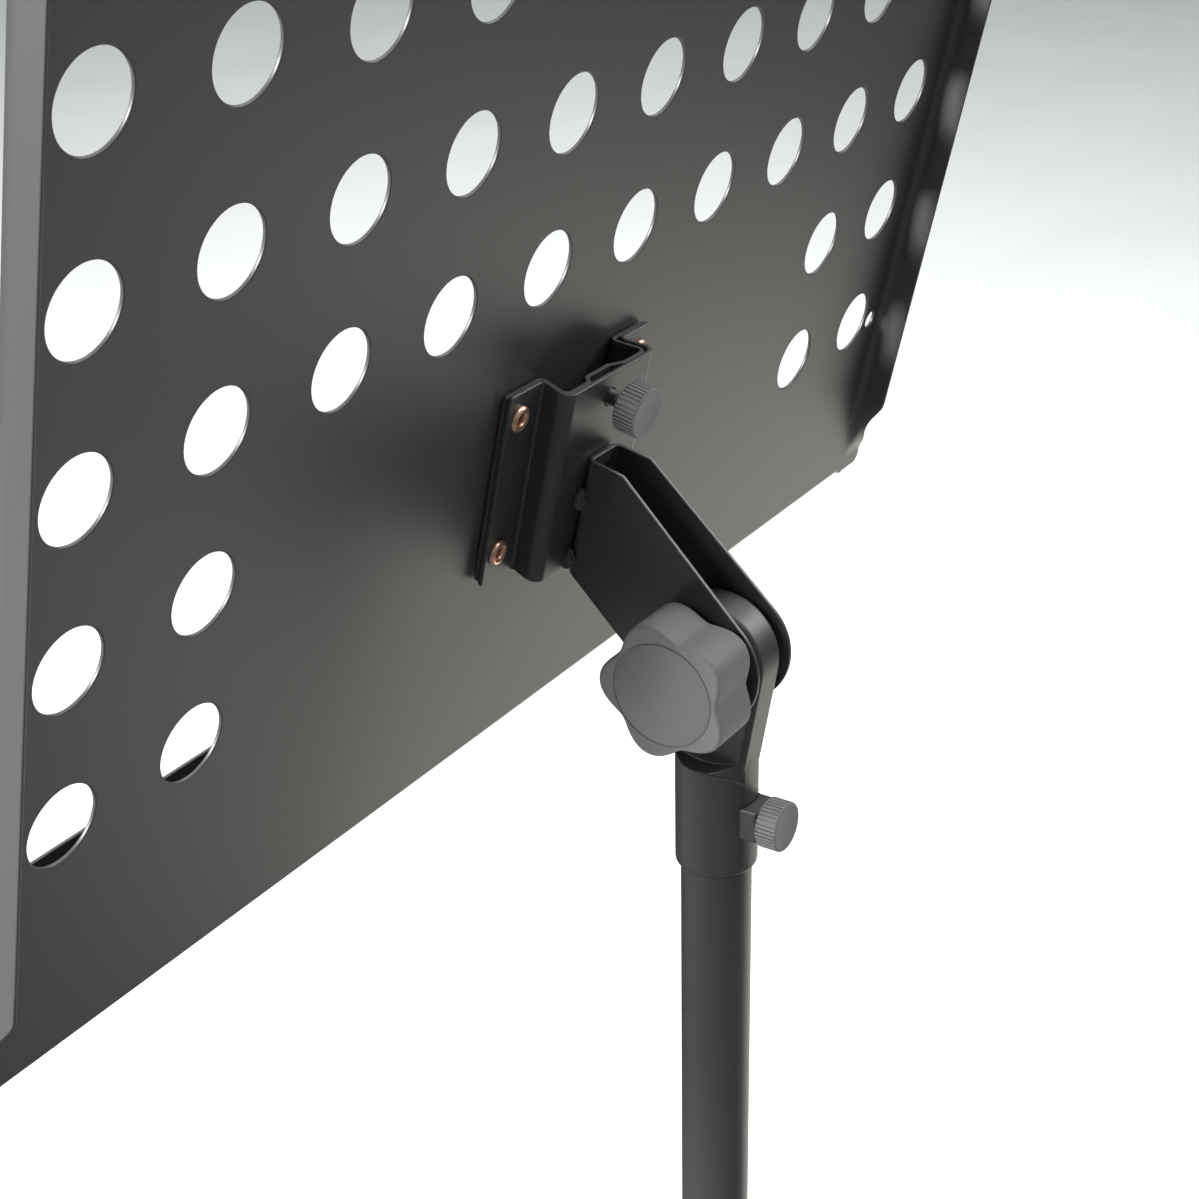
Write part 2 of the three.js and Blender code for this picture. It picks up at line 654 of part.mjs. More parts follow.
function spreaderHub() {
  const body = tube(RING_R, LOWER_R + GAP, SPREADER_Z - 13, SPREADER_Z + 13);
  const lugs = LEG_AZIMUTHS.map((degrees) => {
    const ear = (side) => {
      const near = side * SLOT_HALF;
      const far = side * (SLOT_HALF + 2.8);
      const [from, to] = [Math.min(near, far), Math.max(near, far)];
      return join(
        box([RING_R - 3, from, SPREADER_Z - LUG_R], [HINGE_RADIUS, to, SPREADER_Z + LUG_R]),
        rod(LUG_R, "y", from, to, [HINGE_RADIUS, SPREADER_Z], 14),
        rod(3, "y", far - 0.7, far + 0.7, [HINGE_RADIUS, SPREADER_Z], 10),
      );
    };
    return join(ear(1), ear(-1)).rotate([0, 0, degrees]);
  });
  const boss = rod(7, "y", RING_R - 3, 26, [0, SPREADER_Z]);
  const bore = rod(LOWER_R + GAP, "z", SPREADER_Z - 20, SPREADER_Z + 20, [0, 0], 32);
  const screwHole = rod(STUD_HOLE_R, "y", 8, 30, [0, SPREADER_Z], 16);
  return piece("spreader_hub", cut(join(body, ...lugs, boss), bore, screwHole), plastic);
}

function spreaderScrew() {
  const group = new THREE.Group();
  group.position.set(0, 0, SPREADER_Z);
  group.add(...thumbscrew("spreader_screw", LOWER_R + GAP, 26 + GAP, 9));
  return group;
}

// A point in a leg's upright plane: p along the leg from its hinge, q out from its middle line.
function onLeg(p, q) {
  const s = Math.sin(LEG_ANGLE);
  const c = Math.cos(LEG_ANGLE);
  return [HINGE_RADIUS + p * s + q * c, HUB_Z - p * c + q * s];
}

function legChannel(name) {
  const half = LEG_DEPTH / 2;
  const outline = [
    ...arc(onLeg(0, 0), half, LEG_ANGLE, LEG_ANGLE + Math.PI, 10),
    onLeg(LEG_LENGTH, -half),
    onLeg(LEG_LENGTH, half),
  ];
  const holes = [
    { at: onLeg(0, 0), r: PIN_R + GAP, sides: PIN_SIDES },
    { at: onLeg(BRACE_AT, 0), r: PIN_R + GAP, sides: PIN_SIDES },
  ];
  const outer = LEG_WIDTH / 2;
  const walls = [-outer, outer - SHEET].map((from) => prism(outline, "y", from, from + SHEET, holes));
  const web = prism(
    [onLeg(10, half - SHEET), onLeg(LEG_LENGTH, half - SHEET), onLeg(LEG_LENGTH, half), onLeg(10, half)],
    "y",
    -outer,
    outer,
  );
  return piece(name, join(...walls, web), paint);
}

// A block around a leg, from p1 to p2 along it, reaching `half` to either side.
function aroundLeg(p1, p2, half, halfWidth) {
  const outline = [onLeg(p1, -half), onLeg(p2, -half), onLeg(p2, half), onLeg(p1, half)];
  return prism(outline, "y", -halfWidth, halfWidth);
}

function legFoot(name) {
  const end = LEG_LENGTH;
  const deep = LEG_DEPTH / 2;
  const wide = LEG_WIDTH / 2;
  const sleeve = aroundLeg(end - SLEEVE_LENGTH, end + 4, deep + SLEEVE_WALL, wide + SLEEVE_WALL);
  const pocket = aroundLeg(end - SLEEVE_LENGTH - 6, end + GAP, deep + GAP, wide + GAP);
  const padAt = [FOOT_RADIUS, 0];
  const pad = join(
    prism(circle(padAt, 13), "z", FLOOR_Z, FLOOR_Z + 7),
    prism(circle(padAt, 9.5), "z", FLOOR_Z + 6, FLOOR_Z + 16),
  );
  return piece(name, cut(join(sleeve, pad), pocket), rubber);
}

function crossPin(name, [x, z], reach) {
  const shank = rod(PIN_R, "y", -reach, reach, [x, z], 16);
  const heads = [-1, 1].map((side) => {
    const near = side * (reach - 0.2);
    const far = side * (reach + 1.3);
    return rod(4.2, "y", Math.min(near, far), Math.max(near, far), [x, z], 16);
  });
  return piece(name, join(shank, ...heads), zinc);
}

function brace(name) {
  const [x1, z1] = onLeg(BRACE_AT, 0);
  const aim = Math.atan2(SPREADER_Z - z1, HINGE_RADIUS - x1);
  const outline = [
    ...arc([x1, z1], 5, aim + Math.PI / 2, aim + 1.5 * Math.PI, 8),
    ...arc([HINGE_RADIUS, SPREADER_Z], 5, aim - Math.PI / 2, aim + Math.PI / 2, 8),
  ];
  const holes = [{ at: [x1, z1], r: PIN_R + GAP, sides: PIN_SIDES }];
  return piece(name, prism(outline, "y", -BRACE_THICK / 2, BRACE_THICK / 2, holes), paint);
}

function tripodLeg(degrees, label) {
  const group = new THREE.Group();
  group.rotation.z = THREE.MathUtils.degToRad(degrees);
  const reach = LEG_WIDTH / 2 + GAP + 0.2;
  group.add(
    legChannel("leg_" + label),
    legFoot("foot_" + label),
    crossPin("hub_pin_" + label, onLeg(0, 0), reach),
    crossPin("brace_pin_" + label, onLeg(BRACE_AT, 0), reach),
    brace("brace_" + label),
  );
  return group;
}

// ---------------------------------------------------------------- the whole stand
const stand = new THREE.Group();
stand.add(lowerTube(), bottomPlug(), clampCollar(), clampKnob(), upperTube(), mastGlide());
stand.add(legHub(), spreaderHub(), spreaderScrew());
LEG_AZIMUTHS.forEach((degrees, i) => stand.add(tripodLeg(degrees, ["front", "right", "left"][i])));
stand.add(head(), desk(), tiltClamp());

export default stand;
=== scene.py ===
import contextlib
import json
import math

import bmesh
import bpy
from bpy.props import FloatProperty, FloatVectorProperty, IntProperty, PointerProperty
from mathutils import Matrix, Vector

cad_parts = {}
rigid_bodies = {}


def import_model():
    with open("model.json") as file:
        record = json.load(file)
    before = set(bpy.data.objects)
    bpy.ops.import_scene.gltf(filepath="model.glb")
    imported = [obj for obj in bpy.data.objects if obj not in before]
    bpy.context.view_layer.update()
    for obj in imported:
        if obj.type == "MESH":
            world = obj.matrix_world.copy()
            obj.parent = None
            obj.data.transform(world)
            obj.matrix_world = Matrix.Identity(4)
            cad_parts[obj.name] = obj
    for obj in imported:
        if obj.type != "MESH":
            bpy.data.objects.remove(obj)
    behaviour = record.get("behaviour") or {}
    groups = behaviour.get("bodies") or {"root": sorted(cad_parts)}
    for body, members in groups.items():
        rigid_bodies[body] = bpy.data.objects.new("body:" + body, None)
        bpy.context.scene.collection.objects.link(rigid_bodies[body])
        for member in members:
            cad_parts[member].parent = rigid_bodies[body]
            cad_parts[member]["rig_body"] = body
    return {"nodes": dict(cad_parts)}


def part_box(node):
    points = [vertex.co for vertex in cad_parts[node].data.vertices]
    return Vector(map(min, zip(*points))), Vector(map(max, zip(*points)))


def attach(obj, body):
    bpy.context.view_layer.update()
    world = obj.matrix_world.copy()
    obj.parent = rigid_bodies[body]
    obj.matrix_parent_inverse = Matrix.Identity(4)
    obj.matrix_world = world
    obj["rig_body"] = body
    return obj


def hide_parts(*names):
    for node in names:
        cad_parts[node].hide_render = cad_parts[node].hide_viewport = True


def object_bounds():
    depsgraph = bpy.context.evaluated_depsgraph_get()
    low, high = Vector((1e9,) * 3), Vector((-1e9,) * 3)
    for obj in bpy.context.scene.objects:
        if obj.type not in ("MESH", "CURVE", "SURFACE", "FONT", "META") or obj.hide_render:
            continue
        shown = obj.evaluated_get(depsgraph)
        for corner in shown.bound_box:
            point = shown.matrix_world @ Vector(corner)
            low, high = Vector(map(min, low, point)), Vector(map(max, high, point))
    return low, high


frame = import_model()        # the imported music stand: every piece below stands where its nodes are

bl_info = {
    "name": "Music Stand",
    "version": (1, 0, 0),
    "blender": (4, 5, 0),
    "location": "3D View > Sidebar > Music Stand",
    "description": "Builds an orchestra music stand with a folded desk, a tilt clamp and a tripod",
    "category": "Add Mesh",
}

CAD_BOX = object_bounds()

# Pieces are modelled in millimetres and brought to metres when they are delivered.
MM = 0.001
MERGE = 0.002
ROUND_SIDES = 96

# ---------------------------------------------------------------- places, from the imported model
HINGE = sum(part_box("pivot_bolt"), Vector()) / 2 / MM
HINGE.x, HINGE.y = 0.0, 0.0
DESK_TILT = math.radians(12.5)
DESK_TO_HINGE = 65.0
FLOOR_Z = CAD_BOX[0].z
SPREADER_Z = (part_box("spreader_screw_grip")[0].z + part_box("spreader_screw_grip")[1].z) / 2 / MM
CLAMP_Z = (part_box("clamp_stud")[0].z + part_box("clamp_stud")[1].z) / 2 / MM

# The desk's own frame: X across, Y back from the desk's back face (w), Z up the desk (v).
DESK_PLACE = (
    Matrix.Translation(HINGE)
    @ Matrix.Rotation(-DESK_TILT, 4, "X")
    @ Matrix.Translation((0, -DESK_TO_HINGE, 0))
)
HINGE_PLACE = Matrix.Translation(HINGE)

# Outline directions: the outline's first and second numbers, then its length.
ALONG = {
    "X": Matrix(((0, 0, 1, 0), (1, 0, 0, 0), (0, 1, 0, 0), (0, 0, 0, 1))),
    "Y": Matrix(((1, 0, 0, 0), (0, 0, 1, 0), (0, 1, 0, 0), (0, 0, 0, 1))),
    "Z": Matrix.Identity(4),
}
# A turned piece is spun about Z and then laid along its axis.
LAID = {
    "X": Matrix.Rotation(math.pi / 2, 4, "Y"),
    "Y": Matrix.Rotation(-math.pi / 2, 4, "X"),
    "Z": Matrix.Identity(4),
}


# ---------------------------------------------------------------- what a user would change
class StandSizes(bpy.types.PropertyGroup):
    edge_round: FloatProperty(
        name="Edge Round", description="Rounding left by the paint on a sheet's edges, in millimetres",
        default=0.42, min=0.05, max=1.0,
    )
    hole_sides: IntProperty(
        name="Hole Sides", description="Straight sides in each of the desk's round holes",
        default=56, min=16, max=128,
    )
    knurl_ridges: IntProperty(
        name="Knurl Ridges", description="Ridges around a thumbscrew's grip",
        default=38, min=12, max=60,
    )
    knob_lobes: IntProperty(
        name="Knob Lobes", description="Lobes around the tilt knob",
        default=5, min=3, max=8,
    )
    lobe_sharpness: FloatProperty(
        name="Lobe Sharpness", description="Below 1 the valleys between the knob's lobes are tighter",
        default=0.82, min=0.3, max=2.0,
    )
    camera_lens: FloatProperty(
        name="Camera Lens", description="Focal length of the camera",
        default=67.9, subtype="DISTANCE_CAMERA",
    )


class StandColours(bpy.types.PropertyGroup):
    desk_paint: FloatVectorProperty(
        name="Desk Paint", description="Powder coat on the desk",
        default=(0.0065, 0.0072, 0.0068), subtype="COLOR",
    )
    frame_paint: FloatVectorProperty(
        name="Frame Paint", description="Gloss paint on the bracket, the head and the tubes",
        default=(0.006, 0.0065, 0.0068), subtype="COLOR",
    )
    knob_plastic: FloatVectorProperty(
        name="Knob Plastic", description="Moulded plastic of the knobs and the thumbscrews",
        default=(0.078, 0.078, 0.074), subtype="COLOR",
    )
    hub_plastic: FloatVectorProperty(
        name="Hub Plastic", description="Moulded plastic of the hubs and collars",
        default=(0.035, 0.036, 0.037), subtype="COLOR",
    )
    rivet_copper: FloatVectorProperty(
        name="Rivet Copper", description="Plated tubular rivets",
        default=(0.72, 0.44, 0.30), subtype="COLOR",
    )


def sizes():
    return bpy.context.scene.stand_sizes


def colours():
    return bpy.context.scene.stand_colours


# ---------------------------------------------------------------- materials
def scaled(colour, factor):
    return (*(min(1.0, part * factor) for part in colour), 1.0)


class Finish:
    """One procedural material under construction; every pattern is in object coordinates."""

    def __init__(self, name, metallic=0.0, coat=0.0):
        self.material = bpy.data.materials.new(name)
        self.material.use_nodes = True
        self.tree = self.material.node_tree
        self.shader = self.tree.nodes["Principled BSDF"]
        self.shader.inputs["Metallic"].default_value = metallic
        self.shader.inputs["Coat Weight"].default_value = coat
        self.place = self.add("TexCoord").outputs["Object"]
        self.height = None

    def add(self, kind, **settings):
        node = self.tree.nodes.new("ShaderNode" + kind)
        for key, value in settings.items():
            setattr(node, key, value)
        return node

    def link(self, source, target):
        self.tree.links.new(source, target)

    def noise(self, scale, detail=3.0, stretch=(1, 1, 1)):
        """Noise with `scale` features to the metre."""
        mapping = self.add("Mapping")
        mapping.inputs["Scale"].default_value = stretch
        self.link(self.place, mapping.inputs["Vector"])
        node = self.add("TexNoise")
        node.inputs["Scale"].default_value = scale
        node.inputs["Detail"].default_value = detail
        self.link(mapping.outputs["Vector"], node.inputs["Vector"])
        return node.outputs["Fac"]

    def ranged(self, source, low, high, start=0.3, end=0.7):
        node = self.add("MapRange")
        for key, value in (("From Min", start), ("From Max", end), ("To Min", low), ("To Max", high)):
            node.inputs[key].default_value = value
        self.link(source, node.inputs["Value"])
        return node.outputs["Result"]

    def mixed(self, factor, first, second):
        """Mixes two colours; each is a colour or another node's output."""
        node = self.add("MixRGB")
        self.link(factor, node.inputs["Fac"])
        for key, value in (("Color1", first), ("Color2", second)):
            if isinstance(value, bpy.types.NodeSocket):
                self.link(value, node.inputs[key])
            else:
                node.inputs[key].default_value = value
        return node.outputs["Color"]

    def combined(self, operation, first, second):
        node = self.add("Math", operation=operation)
        for i, value in enumerate((first, second)):
            if isinstance(value, bpy.types.NodeSocket):
                self.link(value, node.inputs[i])
            else:
                node.inputs[i].default_value = value
        return node.outputs["Value"]

    def specks(self, spacing, size, share):
        """Small round dots: one to a cell of that spacing, in that share of the cells."""
        cells = self.add("TexVoronoi")
        cells.inputs["Scale"].default_value = 1 / (spacing * MM)
        self.link(self.place, cells.inputs["Vector"])
        split = self.add("SeparateColor")
        self.link(cells.outputs["Color"], split.inputs["Color"])
        chosen = self.combined("LESS_THAN", split.outputs["Red"], share)
        reach = self.ranged(split.outputs["Green"], 0.35 * size / spacing, size / spacing, 0.0, 1.0)
        near = self.combined("LESS_THAN", cells.outputs["Distance"], reach)
        return self.combined("MULTIPLY", chosen, near)

    def edges(self, low, high):
        """Where the surface turns outwards, from its own shape."""
        shape = self.add("NewGeometry")
        return self.ranged(shape.outputs["Pointiness"], 0.0, 1.0, low, high)

    def bump(self, source, strength, distance):
        node = self.add("Bump")
        node.inputs["Strength"].default_value = strength
        node.inputs["Distance"].default_value = distance * MM
        self.link(source, node.inputs["Height"])
        if self.height:
            self.link(self.height, node.inputs["Normal"])
        self.height = node.outputs["Normal"]

    def done(self, colour, roughness):
        self.link(colour, self.shader.inputs["Base Color"])
        self.link(roughness, self.shader.inputs["Roughness"])
        self.link(self.height, self.shader.inputs["Normal"])
        return self.material


def painted(name, colour, smooth, rough, dust):
    """Baked black paint: orange peel, slow waves in the sheet, dust caught in it, and edges lightened far
    past the paint: a little wear, mostly a painted highlight.
    """
    finish = Finish(name, coat=0.25)
    finish.shader.inputs["Coat Roughness"].default_value = smooth * 0.6
    cloudy = finish.ranged(finish.noise(9.0), 0.0, 1.0)
    base = finish.mixed(cloudy, scaled(colour, 0.85), scaled(colour, 1.25))
    # The edge tone is many times the paint's colour: a painted highlight along the sheet edges, with a
    # little wear.
    wear_and_edge_highlight = finish.mixed(finish.edges(0.54, 0.64), base, scaled(colour, 14.0))
    motes = finish.specks(2.2, 0.46, dust)
    lint = finish.specks(1.2, 0.20, dust)
    spotted = finish.combined("MAXIMUM", motes, lint)
    tone = finish.mixed(spotted, wear_and_edge_highlight, (0.75, 0.76, 0.75, 1.0))
    even = finish.ranged(finish.noise(34.0, 4.0), smooth, rough)
    gloss = finish.combined("ADD", even, finish.combined("MULTIPLY", spotted, 0.4))
    finish.bump(finish.noise(900.0, 2.0), 0.05, 0.05)
    finish.bump(finish.noise(160.0, 2.0), 0.045, 0.12)
    finish.bump(spotted, 0.25, 0.05)
    return finish.done(tone, gloss)


def moulded(name, colour, rough):
    """Moulded plastic with a fine spark-eroded grain, paler and smoother along its edges."""
    finish = Finish(name)
    cloudy = finish.ranged(finish.noise(60.0, 4.0), 0.0, 1.0)
    base = finish.mixed(cloudy, scaled(colour, 0.86), scaled(colour, 1.14))
    wear_and_edge_highlight = finish.mixed(finish.edges(0.54, 0.62), base, scaled(colour, 1.9))
    dusty = finish.mixed(finish.specks(4.0, 0.3, 0.16), wear_and_edge_highlight, scaled(colour, 3.0))
    gloss = finish.ranged(finish.noise(240.0, 3.0), rough - 0.06, rough + 0.08)
    finish.bump(finish.noise(2600.0, 3.0), 0.30, 0.06)
    finish.bump(finish.noise(420.0, 2.0), 0.10, 0.10)
    return finish.done(dusty, gloss)


def rubber():
    finish = Finish("foot_rubber")
    scuffed = finish.ranged(finish.noise(70.0, 6.0), 0.0, 1.0, 0.5, 0.8)
    base = finish.mixed(scuffed, (0.022, 0.022, 0.022, 1), (0.075, 0.072, 0.068, 1))
    wear_and_edge_highlight = finish.mixed(finish.edges(0.53, 0.6), base, (0.10, 0.098, 0.094, 1))
    gloss = finish.ranged(finish.noise(120.0), 0.68, 0.86)
    finish.bump(finish.noise(1500.0, 4.0), 0.35, 0.08)
    return finish.done(wear_and_edge_highlight, gloss)


def plated(name, colour, smooth, rough, tarnish):
    """Bare or plated metal: fine turning marks, finger haze and darker hollows."""
    finish = Finish(name, metallic=1.0)
    patchy = finish.ranged(finish.noise(180.0, 4.0), 0.0, 1.0, 0.42, 0.68)
    base = finish.mixed(patchy, scaled(colour, 1.0), tarnish)
    wear_and_edge_highlight = finish.mixed(finish.edges(0.53, 0.6), base, scaled(colour, 1.25))
    gloss = finish.ranged(finish.noise(260.0, 3.0), smooth, rough)
    finish.bump(finish.noise(900.0, 3.0, (1, 1, 6)), 0.08, 0.04)
    return finish.done(wear_and_edge_highlight, gloss)


def make_materials():
    tint = colours()
    made = (
        painted("desk_paint", tint.desk_paint, 0.23, 0.27, 0.05),
        painted("frame_paint", tint.frame_paint, 0.13, 0.19, 0.35),
        painted("leg_paint", tint.frame_paint, 0.20, 0.27, 0.12),
        moulded("knob_plastic", tint.knob_plastic, 0.50),
        moulded("hub_plastic", tint.hub_plastic, 0.46),
        rubber(),
        plated("rivet_copper", tint.rivet_copper, 0.16, 0.3, (0.40, 0.20, 0.12, 1)),
        plated("zinc_steel", (0.62, 0.63, 0.62), 0.24, 0.4, (0.40, 0.41, 0.42, 1)),
        plated("black_steel", (0.12, 0.12, 0.125), 0.25, 0.42, (0.05, 0.05, 0.052, 1)),
        plated("insert_brass", (0.70, 0.58, 0.32), 0.2, 0.35, (0.42, 0.33, 0.16, 1)),
    )
    return {material.name: material for material in made}


# ---------------------------------------------------------------- modelling by hand, in code
def only(obj):
    bpy.ops.object.select_all(action="DESELECT")
    obj.select_set(True)
    bpy.context.view_layer.objects.active = obj


def primitive(kind, **options):
    bpy.ops.object.select_all(action="DESELECT")
    getattr(bpy.ops.mesh, "primitive_" + kind + "_add")(**options)
    return bpy.context.object


@contextlib.contextmanager
def editing(obj):
    """Edit mode on one object, with nothing of it selected at first."""
    only(obj)
    bpy.ops.object.mode_set(mode="EDIT")
    bpy.ops.mesh.select_all(action="DESELECT")
    yield
    bpy.ops.object.mode_set(mode="OBJECT")


def pick(obj, kind, test):
    """In edit mode, selects just the faces, edges or vertices that pass a test."""
    bpy.ops.mesh.select_mode(type=kind)
    bpy.ops.mesh.select_all(action="DESELECT")
    mesh = bmesh.from_edit_mesh(obj.data)
    parts = {"FACE": mesh.faces, "EDGE": mesh.edges, "VERT": mesh.verts}[kind]
    found = [part for part in parts if test(part)]
    if not found:
        raise RuntimeError(obj.name + ": nothing to select")
    for part in found:
        part.select_set(True)
    bmesh.update_edit_mesh(obj.data)


def closed_up(obj):
    """Merges what coincides, drops faces with no area and turns every face outwards."""
    with editing(obj):
        bpy.ops.mesh.select_all(action="SELECT")
        bpy.ops.mesh.remove_doubles(threshold=MERGE)
        bpy.ops.mesh.dissolve_degenerate(threshold=MERGE)
        bpy.ops.mesh.select_all(action="SELECT")
        bpy.ops.mesh.normals_make_consistent(inside=False)
    return obj


def modified(obj, kind, **settings):
    """Adds one modifier, sets it and applies it."""
    only(obj)
    modifier = obj.modifiers.new(kind.title(), kind)
    for key, value in settings.items():
        setattr(modifier, key, value)
    bpy.ops.object.modifier_apply(modifier=modifier.name)
    return obj


def joined(obj, *others):
    only(obj)
    for other in others:
        other.select_set(True)
    bpy.ops.object.join()
    return obj


def combined(obj, operation, *others):
    """Unites, cuts or intersects one solid with others, which are used up."""
    for other in others:
        modified(obj, "BOOLEAN", operation=operation, object=other, solver="EXACT")
        bpy.data.objects.remove(other)
        if not obj.data.polygons:
            raise RuntimeError(obj.name + ": nothing left after " + operation)
    return obj


def softened(obj, width, segments=3, limit=30):
    """Rounds every sharp edge, then lets the large faces set the shading."""
    modified(
        obj, "BEVEL", width=width, segments=segments, limit_method="ANGLE",
        angle_limit=math.radians(limit), use_clamp_overlap=False,
    )
    return smoothed(obj)


def smoothed(obj, limit=40):
    only(obj)
    bpy.ops.object.shade_smooth_by_angle(angle=math.radians(limit))
    modified(obj, "WEIGHTED_NORMAL", keep_sharp=True, weight=80)
    return obj


def turned(profile, axis="Z", sides=ROUND_SIDES):
    """A closed outline of (radius, height) points spun about an axis."""
    obj = primitive("circle", vertices=len(profile), radius=1, fill_type="NOTHING")
    for vertex, (radius, height) in zip(obj.data.vertices, profile):
        vertex.co = (radius, 0, height)
    with editing(obj):
        bpy.ops.mesh.select_all(action="SELECT")
        bpy.ops.mesh.spin(steps=sides, angle=2 * math.pi, center=(0, 0, 0), axis=(0, 0, 1))
    obj.data.transform(LAID[axis])
    return closed_up(obj)


def bar(radius, axis, low, high, sides=ROUND_SIDES):
    return turned([(0, low), (radius, low), (radius, high), (0, high)], axis, sides)


def plate(outline, axis, low, high):
    """A flat outline pulled along an axis."""
    obj = primitive("circle", vertices=len(outline), radius=1, fill_type="NGON")
    for vertex, (a, b) in zip(obj.data.vertices, outline):
        vertex.co = (a, b, low)
    with editing(obj):
        bpy.ops.mesh.select_all(action="SELECT")
        bpy.ops.mesh.extrude_region_move(TRANSFORM_OT_translate={"value": (0, 0, high - low)})
    obj.data.transform(ALONG[axis])
    return closed_up(obj)


def folded(path, axis, low, high, thickness):
    """A sheet whose middle follows a path, as wide as low to high along an axis."""
    obj = primitive("plane", size=2)
    for vertex in obj.data.vertices:
        a, b = path[1] if vertex.co.x > 0 else path[0]
        vertex.co = (a, b, high if vertex.co.y > 0 else low)
    end = Vector(path[1])
    with editing(obj):
        pick(obj, "EDGE", lambda e: all((v.co.xy - end).length < MERGE for v in e.verts))
        for before, after in zip(path[1:], path[2:]):
            step = (after[0] - before[0], after[1] - before[1], 0)
            bpy.ops.mesh.extrude_region_move(TRANSFORM_OT_translate={"value": step})
    obj.data.transform(ALONG[axis])
    closed_up(obj)
    modified(obj, "SOLIDIFY", thickness=thickness, offset=0, use_even_offset=True)
    return closed_up(obj)


def block(low, high):
    obj = primitive("cube", size=1)
    low, high = Vector(low), Vector(high)
    size = high - low
    obj.data.transform(Matrix.Translation((low + high) / 2) @ Matrix.Diagonal((*size, 1)))
    return obj


def moved(obj, offset):
    obj.data.transform(Matrix.Translation(offset))
    return obj


def copied(obj):
    only(obj)
    bpy.ops.object.duplicate(linked=False)
    return bpy.context.object


def refined(node, rounding, segments=2):
    """A copy of a CAD node, welded, with its flat faces made whole and its edges rounded."""
    only(frame["nodes"][node])
    bpy.ops.object.duplicate(linked=False)
    obj = bpy.context.object
    for key in [key for key in obj.keys() if key.startswith("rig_")]:
        del obj[key]
    obj.parent = None
    obj.data.transform(Matrix.Scale(1 / MM, 4))
    with editing(obj):
        bpy.ops.mesh.select_all(action="SELECT")
        bpy.ops.mesh.remove_doubles(threshold=MERGE)
        bpy.ops.mesh.dissolve_limited(angle_limit=math.radians(1))
    return softened(obj, rounding, segments, 32)


def deliver(obj, node, finish, place=None):
    """Brings a piece to metres and to its place, and lets it stand for its CAD node."""
    obj.data.transform(Matrix.Scale(MM, 4) @ (place or Matrix.Identity(4)))
    if (place or Matrix.Identity(4)).determinant() < 0:
        obj.data.flip_normals()
    obj.name = node + "_finished"
    obj.data.name = obj.name
    obj.data.materials.clear()
    obj.data.materials.append(bpy.data.materials[finish])
    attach(obj, frame["nodes"][node]["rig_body"])
    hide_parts(node)
    return obj


# ---------------------------------------------------------------- outlines
def arc(centre, radius, start, end, steps):
    turn = [start + (end - start) * i / steps for i in range(steps + 1)]
    return [(centre[0] + radius * math.cos(t), centre[1] + radius * math.sin(t)) for t in turn]


def tangent_angle(point, radius, side):
    """Where a line from a point touches a circle about the origin."""
    distance = math.hypot(*point)
    return math.atan2(point[1], point[0]) + side * math.acos(radius / distance)


def bent(corners, steps=7):
    """A path through (a, b, bend radius) corners; a corner with no radius is a plain point."""
    path = []
    for i, (a, b, *radius) in enumerate(corners):
        if not radius:
            path.append((a, b))
            continue
        here = Vector((a, b))
        back = (Vector(corners[i - 1][:2]) - here).normalized()
        onward = (Vector(corners[i + 1][:2]) - here).normalized()
        half = back.angle(onward) / 2
        reach = radius[0] / math.tan(half)
        centre = here + (back + onward).normalized() * (radius[0] / math.sin(half))
        first, last = here + back * reach - centre, here + onward * reach - centre
        start = math.atan2(first.y, first.x)
        sweep = math.atan2(first.x * last.y - first.y * last.x, first.dot(last))
        path += arc(centre, radius[0], start, start + sweep, steps)
    return path


def smoothstep(t):
    t = min(max(t, 0.0), 1.0)
    return t * t * (3 - 2 * t)


# ---------------------------------------------------------------- the desk
DESK_SHEET = 1.2
DESK_LOW = -59.5
DESK_TOP = 270.0
BEND_START = 223.0
FLANGE_BEND = 4.0
FLANGE_STRAIGHT = 7.6
FLAT_EXTRA = 5.0
UNFOLD_FROM = 5.5
UNFOLD_OVER = 32.0
NOTCH_AT = 20.5
NOTCH_HALF = 16.0
NOTCH_DEEP = 7.2
BEND_SHARE = 0.45
BEND_STEPS = 7
STRIP_STEPS = 14
FIRST_ROW = 4.5
ROW_STEP = 1.6
CORNER_ROWS = 26
LEDGE_DEPTH = 44.0
LIP_HEIGHT = 14.0
LEDGE_BEND = 2.5
LEDGE_HALF = BEND_START + 4
HOLE_PITCH = 45.0
HOLE_RADIUS = 11.1
HOLE_COLUMNS = 10
HOLE_ROWS = 6
FIRST_HOLE_ROW = 15.5
EDGE_HOLE = (218.5, 11.4, 3.2)
RIVET_U = 31.2
RIVET_V = (18.8, 63.4)
RIVET_HOLE = 2.8


def from_end(v):
    """Height from the nearer of the desk's two corners."""
    return min(v - DESK_LOW, DESK_TOP - v)


def fold_angle(v):
    """How far the side strip is folded back at a height: flat at both corners, upright between."""
    return math.pi / 2 * smoothstep((from_end(v) - UNFOLD_FROM) / UNFOLD_OVER)


def strip_reach(v):
    """Width of the strip beyond its bend: wider where it is flat, notched where it rises."""
    flat_share = 1 - fold_angle(v) / (math.pi / 2)
    across = min(1.0, abs(from_end(v) - NOTCH_AT) / NOTCH_HALF)
    notch = NOTCH_DEEP * (1 - across ** 2) ** 2
    rounded = max(0.0, 2.5 - from_end(v))
    return FLANGE_STRAIGHT + FLAT_EXTRA * flat_share - notch - rounded


def strip_point(t, v):
    """A point of the side strip's middle surface; t runs from 0 at the bend to 1 at the free edge."""
    angle = fold_angle(v)
    along = min(t / BEND_SHARE, 1.0)
    lean = angle * along
    flat = (math.pi / 2 - angle) * FLANGE_BEND * along
    out = FLANGE_BEND * math.sin(lean) + flat * math.cos(lean)
    back = FLANGE_BEND * (1 - math.cos(lean)) + flat * math.sin(lean)
    reach = strip_reach(v) * max(0.0, (t - BEND_SHARE) / (1 - BEND_SHARE))
    return BEND_START + out + reach * math.cos(angle), back + reach * math.sin(angle)


